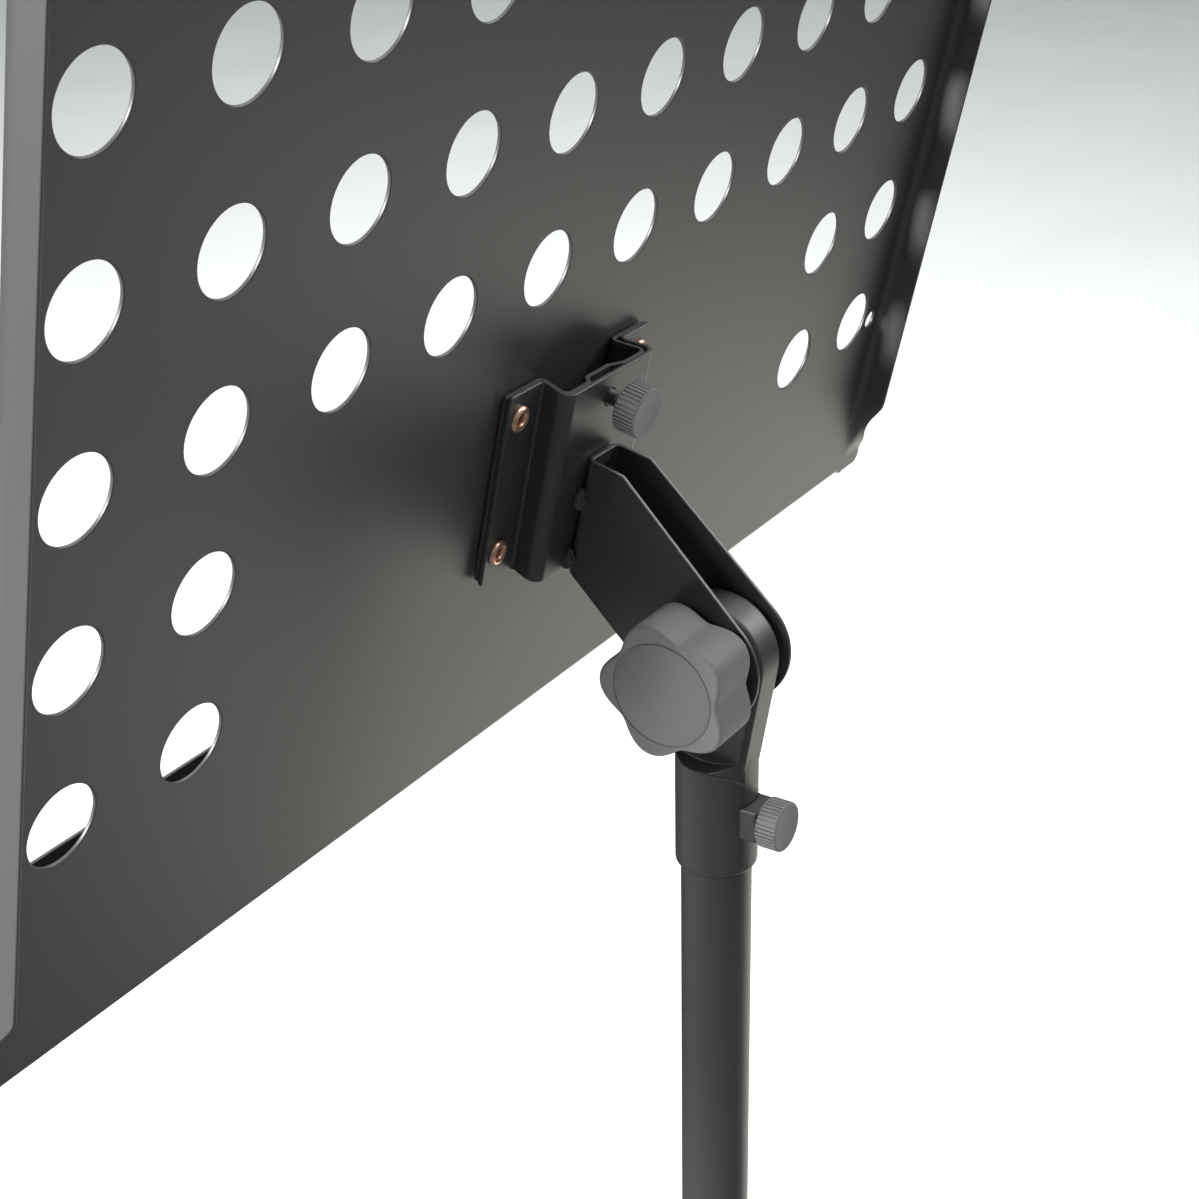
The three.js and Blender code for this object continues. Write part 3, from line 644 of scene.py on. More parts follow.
def desk_rows():
    """Rows of the desk from the lip to the top: (w, v, how far along the lower bend, or None)."""
    middle, floor = -DESK_SHEET / 2, DESK_LOW + DESK_SHEET / 2
    path = bent([
        (middle - LEDGE_DEPTH, DESK_LOW + LIP_HEIGHT),
        (middle - LEDGE_DEPTH, floor, LEDGE_BEND),
        (middle, floor, LEDGE_BEND),
        (middle, DESK_LOW + 8),
    ])[:-1]
    bend = len(path) - BEND_STEPS - 1
    rows = [(w, v, (i - bend) / BEND_STEPS) for i, (w, v) in enumerate(path)]
    low = [FIRST_ROW + ROW_STEP * i for i in range(CORNER_ROWS)]
    high = [1.4, 2.9, *low]
    heights = [DESK_LOW + h for h in low] + [DESK_TOP - h for h in reversed(high)]
    return rows + [(middle, v, None) for v in heights]


def desk_point(row, side):
    """A point of the desk's middle surface; side runs past 1 where the strip begins."""
    w, v, bend = row
    t = abs(side) - 1
    if bend is None:
        u, back = strip_point(t, v) if t else (BEND_START, 0.0)
        return math.copysign(u, side), w + back, v
    ledge_end = LEDGE_HALF - (LEDGE_HALF - BEND_START) * max(bend, 0.0)
    if not t:
        return math.copysign(ledge_end, side), w, v
    edge = strip_point(1, v)[0]
    return math.copysign(ledge_end + (edge - ledge_end) * t, side), -DESK_SHEET / 2, v


def desk_sheet():
    """The folded desk: lip, ledge, panel and the two side strips, with its holes."""
    strip = [i / STRIP_STEPS for i in range(1, STRIP_STEPS + 1)]
    columns = [-1 - t for t in reversed(strip)] + [-1, 1] + [1 + t for t in strip]
    rows = desk_rows()
    across = len(columns)
    obj = primitive("grid", x_subdivisions=across - 1, y_subdivisions=len(rows) - 1, size=2)
    for index, vertex in enumerate(obj.data.vertices):
        vertex.co = desk_point(rows[index // across], columns[index % across])

    def beside_ledge(face):
        """Faces where the strip has no place: beside the ledge and the lip."""
        on_ledge = any((rows[v.index // across][2] or 0) < 0 for v in face.verts)
        return on_ledge and any(abs(columns[v.index % across]) > 1 for v in face.verts)

    with editing(obj):
        pick(obj, "FACE", beside_ledge)
        bpy.ops.mesh.delete(type="FACE")
    closed_up(obj)
    modified(obj, "SOLIDIFY", thickness=DESK_SHEET, offset=0, use_even_offset=True)
    closed_up(obj)
    cutters = []
    for row in range(HOLE_ROWS):
        for column in range(HOLE_COLUMNS):
            u = (column - (HOLE_COLUMNS - 1) / 2) * HOLE_PITCH
            if row < 2 and abs(u) < 3 * HOLE_PITCH:
                continue
            cutters.append((u, FIRST_HOLE_ROW + row * HOLE_PITCH, HOLE_RADIUS))
    cutters += [(side * RIVET_U, v, RIVET_HOLE) for side in (-1, 1) for v in RIVET_V]
    cutters += [(side * EDGE_HOLE[0], *EDGE_HOLE[1:]) for side in (-1, 1)]
    drills = [hole_cutter(*cutter) for cutter in cutters]
    combined(obj, "DIFFERENCE", joined(*drills))
    return softened(obj, sizes().edge_round, 3, 35)


def hole_cutter(u, v, radius, low=-3.0, high=3.0):
    return moved(bar(radius, "Y", low, high, sizes().hole_sides), (u, 0, v))


# ---------------------------------------------------------------- the bracket
SHEET = 1.5
LINER_SHEET = 1.4
CHANNEL_LOW = 8.6
CHANNEL_TOP = 71.5
WEB_OUT = 14.1
FLANGE_EDGE = 36.6
DESK_SCREW_V = 63.7
POCKET_W = 9.4
CHANNEL_FLANGE_W = 2.75
CHANNEL_FOOT = 20.2
CHANNEL_SHOULDER = 23.2
LINER_FLANGE_W = 1.2
LINER_FOOT = 18.3
LINER_SHOULDER = 21.0
STUD_HOLE = 2.8
FLANGE_ROUND = 1.3


def corner_cut(obj, test, width):
    """Rounds the sheet's own corners: short edges that run through its thickness."""
    with editing(obj):
        pick(obj, "EDGE", test)
        bpy.ops.mesh.bevel(offset=width, segments=5, profile=0.5, affect="EDGES")
    return obj


def flange_corner(edge):
    """An edge through a flange's thickness at its free side."""
    first, last = (v.co for v in edge.verts)
    level = abs(first.z - last.z) < 0.1 and abs(abs(first.x) - FLANGE_EDGE) < 0.1
    return level and abs(abs(last.x) - FLANGE_EDGE) < 0.1 and abs(first.y - last.y) > 1


def drilled(obj):
    """The four rivet holes through a flange."""
    holes = [hole_cutter(u, v, RIVET_HOLE, -3, 7) for u in (-RIVET_U, RIVET_U) for v in RIVET_V]
    return combined(obj, "DIFFERENCE", joined(*holes))


def channel():
    web = WEB_OUT - SHEET / 2
    flange = CHANNEL_FLANGE_W
    half = [(FLANGE_EDGE, flange), (CHANNEL_FOOT, flange, 1.6), (CHANNEL_SHOULDER, web, 2.8)]
    other = [(-a, *rest) for a, *rest in reversed(half)]
    obj = folded(bent(half + other), "Z", CHANNEL_LOW, CHANNEL_TOP, SHEET)
    corner_cut(obj, flange_corner, FLANGE_ROUND)
    drilled(obj)
    combined(obj, "DIFFERENCE", moved(bar(STUD_HOLE, "Y", 8, 17), (0, 0, DESK_SCREW_V)))
    return softened(obj, sizes().edge_round, 3, 35)


def liner():
    web = WEB_OUT - SHEET - 0.3 - 0.75
    flange = LINER_FLANGE_W
    right = [(FLANGE_EDGE, flange), (LINER_FOOT, flange, 1.4), (LINER_SHOULDER, web, 2.0)]
    pocket = [(9.6, web, 1), (7.4, POCKET_W, 1), (-3.8, POCKET_W, 1), (-9.4, web, 1)]
    left = [(-u, *rest) for u, *rest in reversed(right)]
    corners = right + pocket + left
    obj = folded(bent(corners), "Z", CHANNEL_LOW + 1, CHANNEL_TOP - 0.6, LINER_SHEET)
    corner_cut(obj, flange_corner, FLANGE_ROUND)
    drilled(obj)
    return softened(obj, sizes().edge_round * 0.8, 2, 35)


def ring_rivet():
    """A tubular rivet whose rim is rolled over into a round ring."""
    rim = arc((2.95, 3.95), 1.02, math.radians(-50), math.radians(160), 12)
    outline = [(0, -2.6), (3.2, -2.6), (3.9, -2.2), (4, -1.5), (2.5, -1.5), (2.5, 3.4), *rim]
    outline += [(1.75, 3.6), (1.62, 1.2), (1.3, 0.7), (0, 0.5)]
    return smoothed(turned(outline, "Y", 48))


# ---------------------------------------------------------------- the yoke
YOKE_RADIUS = 19.3
YOKE_HALF_AT_WEB = 7.9
YOKE_HALF_AT_HINGE = 9.6
YOKE_TOP = 46.0
YOKE_LOW = 8.5
YOKE_KNEE_W = 27.2
YOKE_WEB = WEB_OUT + 0.3
BOLT_HOLE = 3.3
BEAD_V = (33.0, 12.0)


def cheek_outline():
    """The yoke's cheek, in (w, v) from the tilt axis."""
    web = YOKE_WEB - DESK_TO_HINGE
    knee, low = (YOKE_KNEE_W - DESK_TO_HINGE, YOKE_TOP), (web - 1, YOKE_LOW)
    upper = tangent_angle(knee, YOKE_RADIUS, -1)
    lower = tangent_angle(low, YOKE_RADIUS, 1) - 2 * math.pi
    return [low, *arc((0, 0), YOKE_RADIUS, lower, upper, 64), knee, (web - 1, YOKE_TOP)]


def weld_bead(side, v):
    """A lumpy weld between the channel's web and the yoke's cheek."""
    bead = primitive("ico_sphere", subdivisions=4, radius=2.5)
    for vertex in bead.data.vertices:
        lump = math.sin(3.1 * vertex.co.z + v) + math.sin(4.3 * vertex.co.x - v)
        vertex.co *= 1 + 0.085 * lump
    size = Matrix.Diagonal((0.95, 0.95, 1.35, 1))
    spot = Matrix.Translation((side * (YOKE_HALF_AT_WEB + 0.5), YOKE_WEB + 0.5, v))
    bead.data.transform(spot @ size)
    return combined(bead, "DIFFERENCE", block((-20, YOKE_WEB - 9, v - 9), (20, YOKE_WEB, v + 9)))


def yoke():
    """A strip folded round the web, trimmed to the cheek's outline and drilled for the bolt."""
    middle = YOKE_HALF_AT_WEB - SHEET / 2
    slope = (YOKE_HALF_AT_HINGE - YOKE_HALF_AT_WEB) / (DESK_TO_HINGE - YOKE_WEB)
    far = DESK_TO_HINGE + YOKE_RADIUS + 2
    end = middle + slope * (far - YOKE_WEB)
    web = YOKE_WEB + SHEET / 2
    path = bent([(end, far), (middle, web, 2.0), (-middle, web, 2.0), (-end, far)])
    obj = folded(path, "Z", -YOKE_RADIUS - 2, YOKE_TOP + 2, SHEET)
    trim = moved(plate(cheek_outline(), "X", -20, 20), (0, DESK_TO_HINGE, 0))
    combined(obj, "INTERSECT", trim)
    combined(obj, "DIFFERENCE", moved(bar(BOLT_HOLE, "X", -20, 20), (0, DESK_TO_HINGE, 0)))
    softened(obj, sizes().edge_round, 3, 35)
    beads = [weld_bead(side, v) for side in (-1, 1) for v in BEAD_V]
    combined(obj, "UNION", *beads)
    return smoothed(obj)


# ---------------------------------------------------------------- thumbscrews
GRIP_RADIUS = 7.85
STUD_RADIUS = 2.5
THREAD_PITCH = 0.8
GROOVE_DEPTH = 0.55


def knurled_grip(radius, near, far):
    """A round grip with straight ridges, a plain chamfered rim and a stud hole behind."""
    ridges = sizes().knurl_ridges
    face = (0, far - 0.45), (radius * 0.45, far - 0.35), (radius - 1.6, far - 0.08)
    rim = arc((radius - 0.7, far - 0.7), 0.7, math.pi / 2, 0, 5)
    foot = (radius, near + 0.5), (radius - 0.5, near), (2.9, near), (2.9, far - 2), (0, far - 2)
    obj = turned([*face, *rim, *foot], "Z", ridges * 5)
    step = 2 * math.pi / ridges

    def in_groove(face):
        middle = face.calc_center_median()
        share = (math.atan2(middle.y, middle.x) / step) % 1
        side = abs(face.normal.z) < 0.3 and middle.xy.length > radius * 0.93
        return side and 0.1 < share < 0.5

    with editing(obj):
        pick(obj, "FACE", in_groove)
        sunk = 1 - GROOVE_DEPTH / radius
        bpy.ops.mesh.extrude_region_move(TRANSFORM_OT_translate={"value": (0, 0, 0)})
        bpy.ops.transform.resize(value=(sunk, sunk, 1), center_override=(0, 0, 0))
    closed_up(obj)
    obj.data.transform(LAID["Y"])
    return softened(obj, 0.09, 2, 50)


def threaded_stud(radius, tip, end):
    """A stud with a round thread as far as it shows, and a bevelled tip."""
    outline = [(0, tip), (radius * 0.7, tip), (radius * 0.84, tip + 0.4)]
    turns = int((end - tip - 1) / THREAD_PITCH)
    for i in range(turns):
        root = tip + 0.5 + i * THREAD_PITCH
        outline += [(radius * 0.82, root), (radius, root + THREAD_PITCH * 0.45)]
        outline += [(radius, root + THREAD_PITCH * 0.6)]
    outline += [(radius * 0.82, tip + 0.5 + turns * THREAD_PITCH), (radius * 0.82, end), (0, end)]
    return smoothed(turned(outline, "Y", 48), 20)


# ---------------------------------------------------------------- tilt clamp
KNOB_BACK = 13.5
KNOB_FRONT = 31.5
KNOB_PEAK = 21.6
KNOB_VALLEY = 17.6
KNOB_TURN = math.radians(38)
DOME_RADIUS = 15.8
DOME_RISE = 3.3
NECK_RADIUS = 10.0
INSERT_POCKET = 5.3
INSERT_POCKET_END = 26.5


def lobed(lobes, peak, valley, turn, steps, sharpness):
    points = []
    for i in range(steps):
        t = 2 * math.pi * i / steps
        share = ((1 + math.cos(lobes * (t - turn))) / 2) ** sharpness
        radius = valley + (peak - valley) * share
        points.append((radius * math.cos(t), radius * math.sin(t)))
    return points


def star_knob():
    """The tilt knob: a lobed grip with rounded rims, a shallow dome and a turned neck."""
    size = sizes()
    outline = lobed(size.knob_lobes, KNOB_PEAK, KNOB_VALLEY, KNOB_TURN, 240, size.lobe_sharpness)
    obj = plate(outline, "X", KNOB_BACK, KNOB_FRONT)
    with editing(obj):
        pick(obj, "EDGE", lambda e: all(abs(v.co.x - KNOB_FRONT) < 0.01 for v in e.verts))
        bpy.ops.mesh.bevel(offset=1.25, segments=6, profile=0.5, affect="EDGES")
        pick(obj, "EDGE", lambda e: all(abs(v.co.x - KNOB_BACK) < 0.01 for v in e.verts))
        bpy.ops.mesh.bevel(offset=0.7, segments=4, profile=0.5, affect="EDGES")
    ball = (DOME_RADIUS ** 2 + DOME_RISE ** 2) / (2 * DOME_RISE)
    half = math.asin(DOME_RADIUS / ball)
    crown = arc((0, KNOB_FRONT + DOME_RISE - ball), ball, math.pi / 2, math.pi / 2 - half, 18)
    depth = KNOB_FRONT - 0.3
    moat = [(DOME_RADIUS - 2, KNOB_FRONT + 2), (DOME_RADIUS - 2, depth), (DOME_RADIUS + 0.35, depth)]
    moat += [(DOME_RADIUS + 0.7, KNOB_FRONT + 0.1), (DOME_RADIUS + 0.7, KNOB_FRONT + 2)]
    combined(obj, "DIFFERENCE", turned(moat, "X", 144))
    crown += [(DOME_RADIUS, depth), (DOME_RADIUS, KNOB_FRONT - 4), (0, KNOB_FRONT - 4)]
    dome = turned(crown, "X", 144)
    rim = [(NECK_RADIUS - 0.5, 11.6), (NECK_RADIUS, 12.1)]
    neck = turned([(0, 11.6), *rim, (NECK_RADIUS, 15), (0, 15)], "X")
    pocket = bar(INSERT_POCKET, "X", 10, INSERT_POCKET_END)
    combined(obj, "UNION", dome, neck)
    combined(obj, "DIFFERENCE", pocket)
    return smoothed(obj, 35)


def pivot_bolt():
    """A carriage bolt across the yoke, with a low round head."""
    head = [(0, -13.6), (2.6, -13.45), (4.9, -12.85), (6.5, -11.9), (7.4, -10.9), (7.6, -10.3)]
    shank = [(3, -10.3), (3, 23.8), (2.4, 24.5), (0, 24.5)]
    return smoothed(turned([*head, *shank], "X"), 50)


def washer(outer, inner, low, high, rounding=0.2):
    edge = rounding
    outline = [
        (inner, low), (outer - edge, low), (outer, low + edge), (outer, high - edge),
        (outer - edge, high), (inner, high),
    ]
    return smoothed(turned(outline, "X"), 30)


# ---------------------------------------------------------------- head and mast
TUBE_RADIUS = 12.7
SOCKET_BOTTOM = -71.6
SOCKET_BORE_TOP = -38.0
TONGUE_HALF = 6.4
TONGUE_RADIUS = 18.0
DIE_RADIUS = 22.0
DIE_CENTRE = -12.5
SOCKET_SCREW = -53.0
UPPER_RADIUS = 11.0
UPPER_BORE = 9.8
SOCKET_BORE = 11.3
SOCKET_LIP = 1.4
TONGUE_FOOT = (TUBE_RADIUS - 1.0, -37.0)


def head_socket():
    """A tube whose top is pressed flat: a round-nosed die leaves a curved shoulder."""
    lip = arc((TUBE_RADIUS - SOCKET_LIP, SOCKET_BOTTOM + SOCKET_LIP), SOCKET_LIP, -math.pi / 2, 0, 7)
    obj = turned([(0, SOCKET_BOTTOM), *lip, (TUBE_RADIUS, -22), (0, -22)], "Z", 96)
    combined(obj, "INTERSECT", plate(shoulder_outline(), "X", -20, 20))
    touch = tangent_angle(TONGUE_FOOT, TONGUE_RADIUS, 1)
    flat = [(-TONGUE_FOOT[0], TONGUE_FOOT[1]), TONGUE_FOOT]
    flat += arc((0, 0), TONGUE_RADIUS, touch, math.pi - touch, 56)
    tongue = softened(plate(flat, "X", -TONGUE_HALF, TONGUE_HALF), 2.1, 6, 40)
    combined(obj, "UNION", tongue)
    combined(obj, "DIFFERENCE", bar(SOCKET_BORE, "Z", SOCKET_BOTTOM - 2, SOCKET_BORE_TOP))
    combined(obj, "DIFFERENCE", bar(BOLT_HOLE, "X", -12, 12))
    return softened(obj, 0.55, 4, 50)


def shoulder_outline():
    """What the die leaves of the barrel, seen from the side: its top is a hollow arc."""
    wide = TUBE_RADIUS + 2
    turn = math.asin(wide / DIE_RADIUS)
    hollow = arc((0, DIE_CENTRE), DIE_RADIUS, turn - math.pi / 2, -turn - math.pi / 2, 48)
    return [(-wide, SOCKET_BOTTOM - 3), (wide, SOCKET_BOTTOM - 3), *hollow]


NUT_HALF = 5.9
NUT_HALF_HIGH = 5.3
NUT_OUT = 17.0


def socket_nut():
    """A square nut with rounded edges, welded to the barrel."""
    low, high = SOCKET_SCREW - NUT_HALF_HIGH, SOCKET_SCREW + NUT_HALF_HIGH
    obj = block((-NUT_HALF, 9, low), (NUT_HALF, NUT_OUT, high))
    combined(obj, "DIFFERENCE", bar(TUBE_RADIUS - 0.3, "Z", SOCKET_BOTTOM, -30))
    combined(obj, "DIFFERENCE", moved(bar(STUD_HOLE, "Y", 5, 20), (0, 0, SOCKET_SCREW)))
    return softened(obj, 0.8, 4, 40)


def mast_tube(outer, inner, low, high):
    """A tube with its two ends slightly rounded."""
    edge = 0.35
    outline = [
        (inner, low), (outer - edge, low), (outer, low + edge), (outer, high - edge),
        (outer - edge, high), (inner, high),
    ]
    return smoothed(turned(outline, "Z", 128), 30)


def extent(node, axis):
    low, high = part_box(node)
    return low[axis] / MM, high[axis] / MM


# ---------------------------------------------------------------- the operators
# Lamps aimed at the hinge: name, place from the hinge in metres, size in metres, power in watts.
LAMPS = (
    ("overhead", (-0.5, 0.55, 1.6), (1.6, 0.6), 18),
    ("front", (1.5, -0.5, 0.9), (0.6, 0.6), 150),
    ("window", (-1.5, 0.92, 0.96), (0.7, 0.7), 28),
)
# Lamps near the floor that face up, which the black paint mirrors: name, place, size, power.
UPLIGHTS = (
    ("bounce", (-1.25, -0.12, 0.30), (1.1, 1.8), 11.5),
    ("side_bounce", (1.65, -1.08, 0.05), (1.5, 1.5), 9),
    ("front_bounce", (0.70, -1.90, 0.05), (1.0, 1.0), 8),
)
UPLIGHT_TINT = (1.0, 1.0, 0.9)
UPWARD = Vector((0, 0, 1))
BACKGROUND_LAMP = (-1.9, -1.5, 2.6)
FLOOR_SIZE = 60
FLOOR_SINK = 0.0005
CARD_LIFT = 0.0004
CARD_SHADE = 0.06
SKY_COLOUR = (0.92, 1.0, 1.0, 1.0)
SKY_STRENGTH = 0.35


class STAND_OT_stage(bpy.types.Operator):
    """Lays the floor, hangs the lights and sets up the camera"""

    bl_idname = "stand.stage"
    bl_label = "Stage"

    def execute(self, context):
        floor = primitive("plane", size=FLOOR_SIZE, location=(0, 0, 0))
        floor.data.transform(Matrix.Translation((0, 0, FLOOR_Z - FLOOR_SINK)))
        floor.name = "floor"
        paper = Finish("pale_floor")
        tone = paper.mixed(paper.ranged(paper.noise(3.0), 0, 1), (0.86, 0.86, 0.86, 1), (0.9, 0.9, 0.9, 1))
        paper.bump(paper.noise(300.0), 0.02, 0.2)
        floor.data.materials.append(paper.done(tone, paper.ranged(paper.noise(8.0), 0.75, 0.85)))
        # A dark card over the floor, seen only in reflections: a painted dark reflection on the black
        # paint.
        hang_card("floor_card", Vector((0, 0, FLOOR_Z + CARD_LIFT)), FLOOR_SIZE, CARD_SHADE)
        world = bpy.data.worlds.new("studio")
        world.use_nodes = True
        sky = world.node_tree.nodes["Background"]
        sky.inputs["Color"].default_value = SKY_COLOUR
        sky.inputs["Strength"].default_value = SKY_STRENGTH
        context.scene.world = world
        hinge = HINGE * MM
        for name, offset, size, power in LAMPS:
            softbox(name, hinge + Vector(offset), hinge, size, power)
        high = Vector(BACKGROUND_LAMP)
        softbox("background", high, Vector((high.x, high.y, 0)), (3.4, 3.4), 70)
        for name, place, size, power in UPLIGHTS:
            below = Vector(place)
            light = softbox(name, below, below + UPWARD, size, power, math.radians(45))
            light.data.color = UPLIGHT_TINT
        aim_camera(hinge)
        context.scene.view_settings.view_transform = "Standard"
        return {"FINISHED"}


def hang_card(name, place, size, shade):
    """A dull dark card over the floor that shows only in reflections: a painted dark reflection, to keep
    black paint black.
    """
    card = primitive("plane", size=size)
    card.data.transform(Matrix.Translation(place))
    card.name = name
    # The card's dark tone is a painted reflection, not a thing in the scene.
    reflection_paint = Finish("card_felt")
    tone = reflection_paint.mixed(reflection_paint.ranged(reflection_paint.noise(2.0), 0, 1), (shade,) * 3 + (1,), (shade * 1.1,) * 3 + (1,))
    reflection_paint.bump(reflection_paint.noise(200.0), 0.05, 0.3)
    card.data.materials.append(reflection_paint.done(tone, reflection_paint.ranged(reflection_paint.noise(9.0), 0.9, 1.0)))
    card.visible_camera = card.visible_diffuse = card.visible_shadow = False
    card.visible_transmission = False


def softbox(name, place, target, size, power, roll=0.0):
    light = bpy.data.lights.new(name, "AREA")
    light.shape = "RECTANGLE"
    light.size, light.size_y = size
    light.energy = power
    obj = bpy.data.objects.new(name, light)
    turn = (target - place).to_track_quat("-Z", "Y").to_matrix().to_4x4()
    obj.matrix_world = Matrix.Translation(place) @ turn @ Matrix.Rotation(roll, 4, "Z")
    obj.visible_camera = False
    bpy.context.scene.collection.objects.link(obj)
    return obj


CAMERA_AZIMUTH = math.radians(123.348)
CAMERA_ELEVATION = math.radians(26.440)
CAMERA_ROLL = math.radians(-1.219)
CAMERA_DISTANCE = 0.67111
CAMERA_AIM = Vector((0.00865, -0.03544, 0.01182))


def aim_camera(hinge):
    """The camera looks down on the tilt clamp from behind the desk's right side."""
    flat = math.cos(CAMERA_ELEVATION)
    back = Vector((
        math.sin(CAMERA_AZIMUTH) * flat,
        -math.cos(CAMERA_AZIMUTH) * flat,
        math.sin(CAMERA_ELEVATION),
    ))
    level = (-back).cross(Vector((0, 0, 1))).normalized()
    upright = level.cross(-back)
    right = math.cos(CAMERA_ROLL) * level + math.sin(CAMERA_ROLL) * upright
    up = back.cross(right)
    data = bpy.data.cameras.new("camera")
    data.lens = sizes().camera_lens
    data.sensor_width = 36
    data.clip_start = 0.02
    data.clip_end = 100
    camera = bpy.data.objects.new("camera", data)
    turn = Matrix((right, up, back)).transposed().to_4x4()
    camera.matrix_world = Matrix.Translation(hinge + CAMERA_AIM + CAMERA_DISTANCE * back) @ turn
    bpy.context.scene.collection.objects.link(camera)
    bpy.context.scene.camera = camera


class STAND_OT_desk(bpy.types.Operator):
    """Folds the desk from one sheet and drills its holes"""

    bl_idname = "stand.desk"
    bl_label = "Desk"

    def execute(self, context):
        deliver(desk_sheet(), "desk_panel", "desk_paint", DESK_PLACE)
        return {"FINISHED"}


class STAND_OT_bracket(bpy.types.Operator):
    """Folds the channel and its liner on the desk's back"""

    bl_idname = "stand.bracket"
    bl_label = "Bracket"

    def execute(self, context):
        deliver(channel(), "bracket_channel", "frame_paint", DESK_PLACE)
        deliver(liner(), "bracket_liner", "frame_paint", DESK_PLACE)
        return {"FINISHED"}


class STAND_OT_rivets(bpy.types.Operator):
    """Sets the four tubular rivets of the bracket"""

    bl_idname = "stand.rivets"
    bl_label = "Rivets"

    def execute(self, context):
        first = ring_rivet()
        for side, sign in (("right", 1), ("left", -1)):
            for row, v in zip(("low", "top"), RIVET_V):
                spot = DESK_PLACE @ Matrix.Translation((sign * RIVET_U, 0, v))
                deliver(copied(first), f"rivet_{side}_{row}", "rivet_copper", spot)
        bpy.data.objects.remove(first)
        return {"FINISHED"}


class STAND_OT_yoke(bpy.types.Operator):
    """Folds the yoke and welds it to the channel"""

    bl_idname = "stand.yoke"
    bl_label = "Yoke"

    def execute(self, context):
        deliver(yoke(), "tilt_yoke", "frame_paint", DESK_PLACE)
        return {"FINISHED"}


class STAND_OT_thumbscrews(bpy.types.Operator):
    """Turns the three thumbscrews, each a knurled grip on a threaded stud"""

    bl_idname = "stand.thumbscrews"
    bl_label = "Thumbscrews"

    def execute(self, context):
        rows = (
            ("desk_screw", DESK_PLACE @ Matrix.Translation((0, 0, DESK_SCREW_V)), 10.6, 19.7, 27.1),
            ("socket_screw", HINGE_PLACE @ Matrix.Translation((0, 0, SOCKET_SCREW)), 11.3, 17.3, 24.3),
            ("spreader_screw", Matrix.Translation((0, 0, SPREADER_Z)), 13.0, 26.3, 35.3),
        )
        for name, place, tip, near, far in rows:
            deliver(knurled_grip(GRIP_RADIUS, near, far), name + "_grip", "knob_plastic", place)
            stud = threaded_stud(STUD_RADIUS, tip, far - 2.3)
            deliver(stud, name + "_stud", "black_steel", place)
        return {"FINISHED"}


class STAND_OT_tilt_clamp(bpy.types.Operator):
    """Moulds the star knob and turns the bolt, the nut and the washers of the tilt clamp"""

    bl_idname = "stand.tilt_clamp"
    bl_label = "Tilt Clamp"

    def execute(self, context):
        deliver(star_knob(), "star_knob", "knob_plastic", HINGE_PLACE)
        deliver(pivot_bolt(), "pivot_bolt", "zinc_steel", HINGE_PLACE)
        deliver(washer(5, 3.3, 11.9, 25.5), "knob_nut", "insert_brass", HINGE_PLACE)
        deliver(washer(9, 3.4, 10.2, 11.3), "knob_washer", "zinc_steel", HINGE_PLACE)
        right = washer(11, 3.4, TONGUE_HALF + 0.3, TONGUE_HALF + 1.2)
        left = washer(11, 3.4, -TONGUE_HALF - 1.2, -TONGUE_HALF - 0.3)
        deliver(right, "friction_washer_right", "hub_plastic", HINGE_PLACE)
        deliver(left, "friction_washer_left", "hub_plastic", HINGE_PLACE)
        return {"FINISHED"}


class STAND_OT_head(bpy.types.Operator):
    """Presses the head socket flat at its top and adds the nut for its screw"""

    bl_idname = "stand.head"
    bl_label = "Head"

    def execute(self, context):
        deliver(head_socket(), "head_socket", "frame_paint", HINGE_PLACE)
        deliver(socket_nut(), "socket_nut", "frame_paint", HINGE_PLACE)
        return {"FINISHED"}


class STAND_OT_mast(bpy.types.Operator):
    """Draws the mast's two tubes and moulds its plug and glide"""

    bl_idname = "stand.mast"
    bl_label = "Mast"

    def execute(self, context):
        upper = mast_tube(UPPER_RADIUS, UPPER_BORE, *extent("upper_tube", 2))
        lower = mast_tube(TUBE_RADIUS, 11.5, *extent("lower_tube", 2))
        deliver(upper, "upper_tube", "frame_paint")
        deliver(lower, "lower_tube", "frame_paint")
        deliver(refined("bottom_plug", 0.4), "bottom_plug", "hub_plastic")
        deliver(refined("mast_glide", 0.3), "mast_glide", "hub_plastic")
        return {"FINISHED"}


class STAND_OT_mast_clamp(bpy.types.Operator):
    """Moulds the collar that holds the upper tube, and its lobed screw"""

    bl_idname = "stand.mast_clamp"
    bl_label = "Mast Clamp"

    def execute(self, context):
        place = Matrix.Translation((0, 0, CLAMP_Z))
        deliver(clamp_collar(), "clamp_collar", "hub_plastic", place)
        deliver(clamp_knob(), "clamp_knob", "knob_plastic", place)
        deliver(threaded_stud(3.0, 11.3, 43.0), "clamp_stud", "zinc_steel", place)
        return {"FINISHED"}


def clamp_collar():
    """A ribbed collar that steps down from the lower tube to the upper one."""
    shell = [
        (13.0, -42), (16.7, -42), (17.5, -41.2), (17.5, -34), (16.7, -33.2), (16.7, -22), (17.5, -21.2),
        (17.5, 10.6), (16.1, 12), (11.3, 12), (11.3, -11.7), (13.0, -11.7),
    ]
    obj = turned(shell, "Z", 128)
    boss = softened(bar(8.5, "Y", 14, 31), 0.8, 4)
    combined(obj, "UNION", boss)
    combined(obj, "DIFFERENCE", bar(3.4, "Y", 5, 40))
    return smoothed(obj, 35)


def clamp_knob():
    outline = lobed(5, 15.5, 12.5, math.pi / 2, 160, sizes().lobe_sharpness)
    obj = plate(outline, "Y", 34.3, 48.3)
    softened(obj, 1.1, 5, 40)
    neck = turned([(0, 31.3), (7.6, 31.3), (8, 31.7), (8, 36), (0, 36)], "Y")
    combined(obj, "UNION", neck)
    combined(obj, "DIFFERENCE", bar(3.3, "Y", 30, 43.6))
    return smoothed(obj, 35)


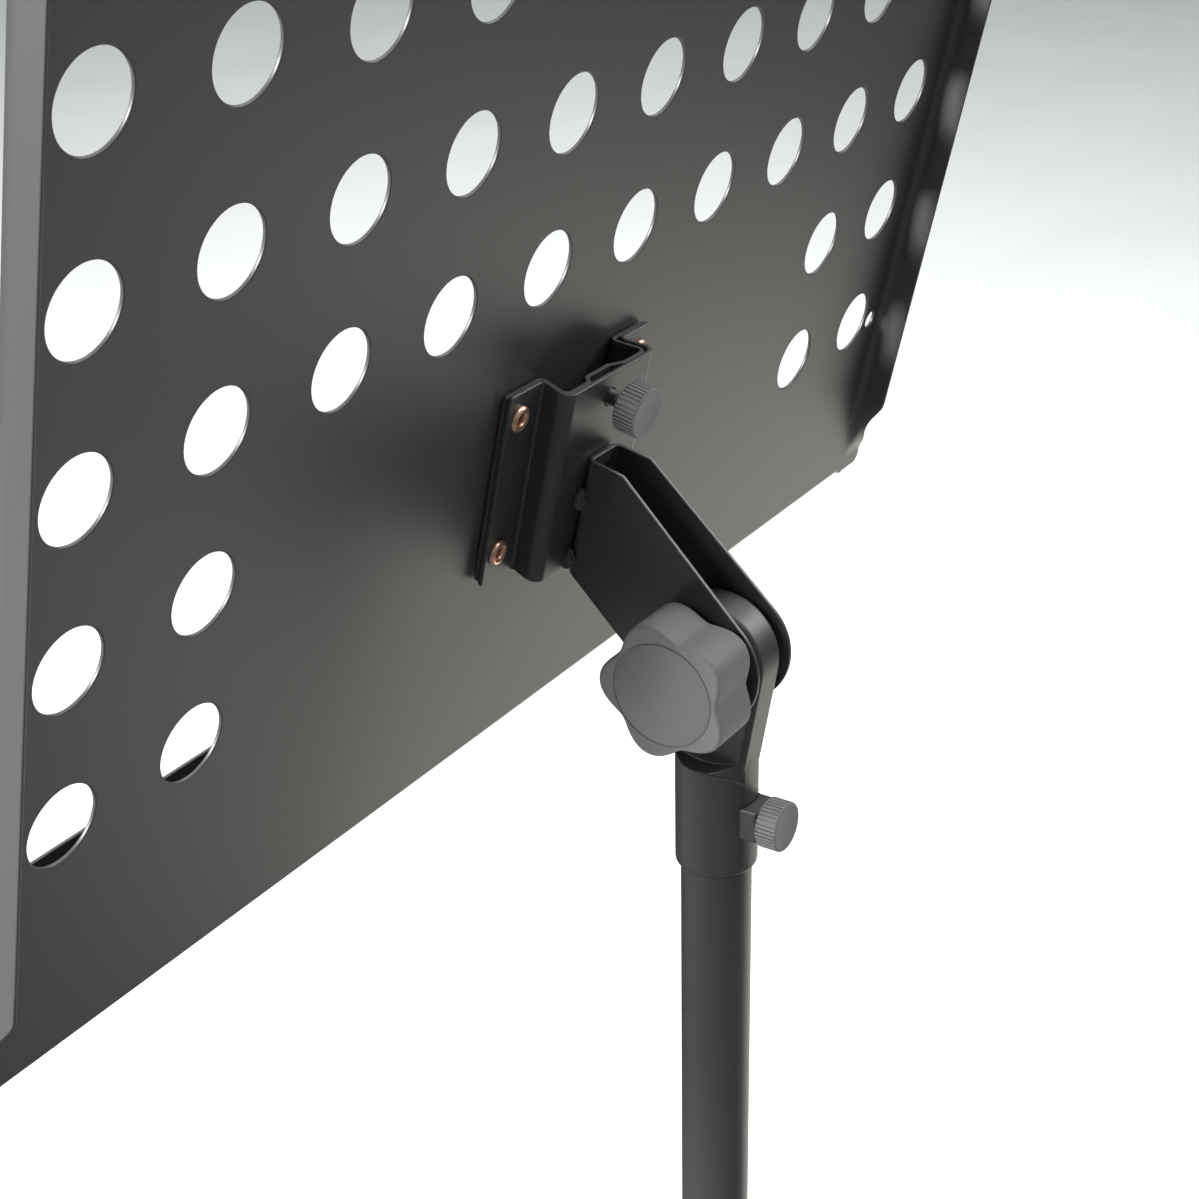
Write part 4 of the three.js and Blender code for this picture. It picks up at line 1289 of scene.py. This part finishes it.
class STAND_OT_hubs(bpy.types.Operator):
    """Moulds the leg hub and the sliding spreader"""

    bl_idname = "stand.hubs"
    bl_label = "Hubs"

    def execute(self, context):
        deliver(refined("leg_hub", 0.7, 3), "leg_hub", "hub_plastic")
        deliver(refined("spreader_hub", 0.6, 3), "spreader_hub", "hub_plastic")
        return {"FINISHED"}


class STAND_OT_legs(bpy.types.Operator):
    """Rounds copies of the three legs and braces, and fits their feet and pins"""

    bl_idname = "stand.legs"
    bl_label = "Legs"

    def execute(self, context):
        for side in ("front", "right", "left"):
            deliver(refined("leg_" + side, 0.4), "leg_" + side, "leg_paint")
            deliver(refined("brace_" + side, 0.5), "brace_" + side, "leg_paint")
            deliver(refined("foot_" + side, 0.9, 3), "foot_" + side, "foot_rubber")
            deliver(refined("hub_pin_" + side, 0.4), "hub_pin_" + side, "zinc_steel")
            deliver(refined("brace_pin_" + side, 0.4), "brace_pin_" + side, "zinc_steel")
        return {"FINISHED"}


OPERATORS = (
    STAND_OT_stage, STAND_OT_desk, STAND_OT_bracket, STAND_OT_rivets, STAND_OT_yoke,
    STAND_OT_thumbscrews, STAND_OT_tilt_clamp, STAND_OT_head, STAND_OT_mast,
    STAND_OT_mast_clamp, STAND_OT_hubs, STAND_OT_legs,
)


class STAND_PT_panel(bpy.types.Panel):
    """Lists the stand's pieces and what can be changed about them"""

    bl_idname = "STAND_PT_panel"
    bl_label = "Music Stand"
    bl_space_type = "VIEW_3D"
    bl_region_type = "UI"
    bl_category = "Music Stand"

    def draw(self, context):
        for group in (context.scene.stand_sizes, context.scene.stand_colours):
            for name in group.__annotations__:
                self.layout.prop(group, name)
        for operator in OPERATORS:
            self.layout.operator(operator.bl_idname)


CLASSES = (StandSizes, StandColours, *OPERATORS, STAND_PT_panel)


def register():
    for each in CLASSES:
        bpy.utils.register_class(each)
    bpy.types.Scene.stand_sizes = PointerProperty(type=StandSizes)
    bpy.types.Scene.stand_colours = PointerProperty(type=StandColours)


def unregister():
    del bpy.types.Scene.stand_colours
    del bpy.types.Scene.stand_sizes
    for each in reversed(CLASSES):
        bpy.utils.unregister_class(each)


def main():
    register()
    make_materials()
    for operator in OPERATORS:
        group, name = operator.bl_idname.split(".")
        getattr(getattr(bpy.ops, group), name)()


if __name__ == "__main__":
    main()
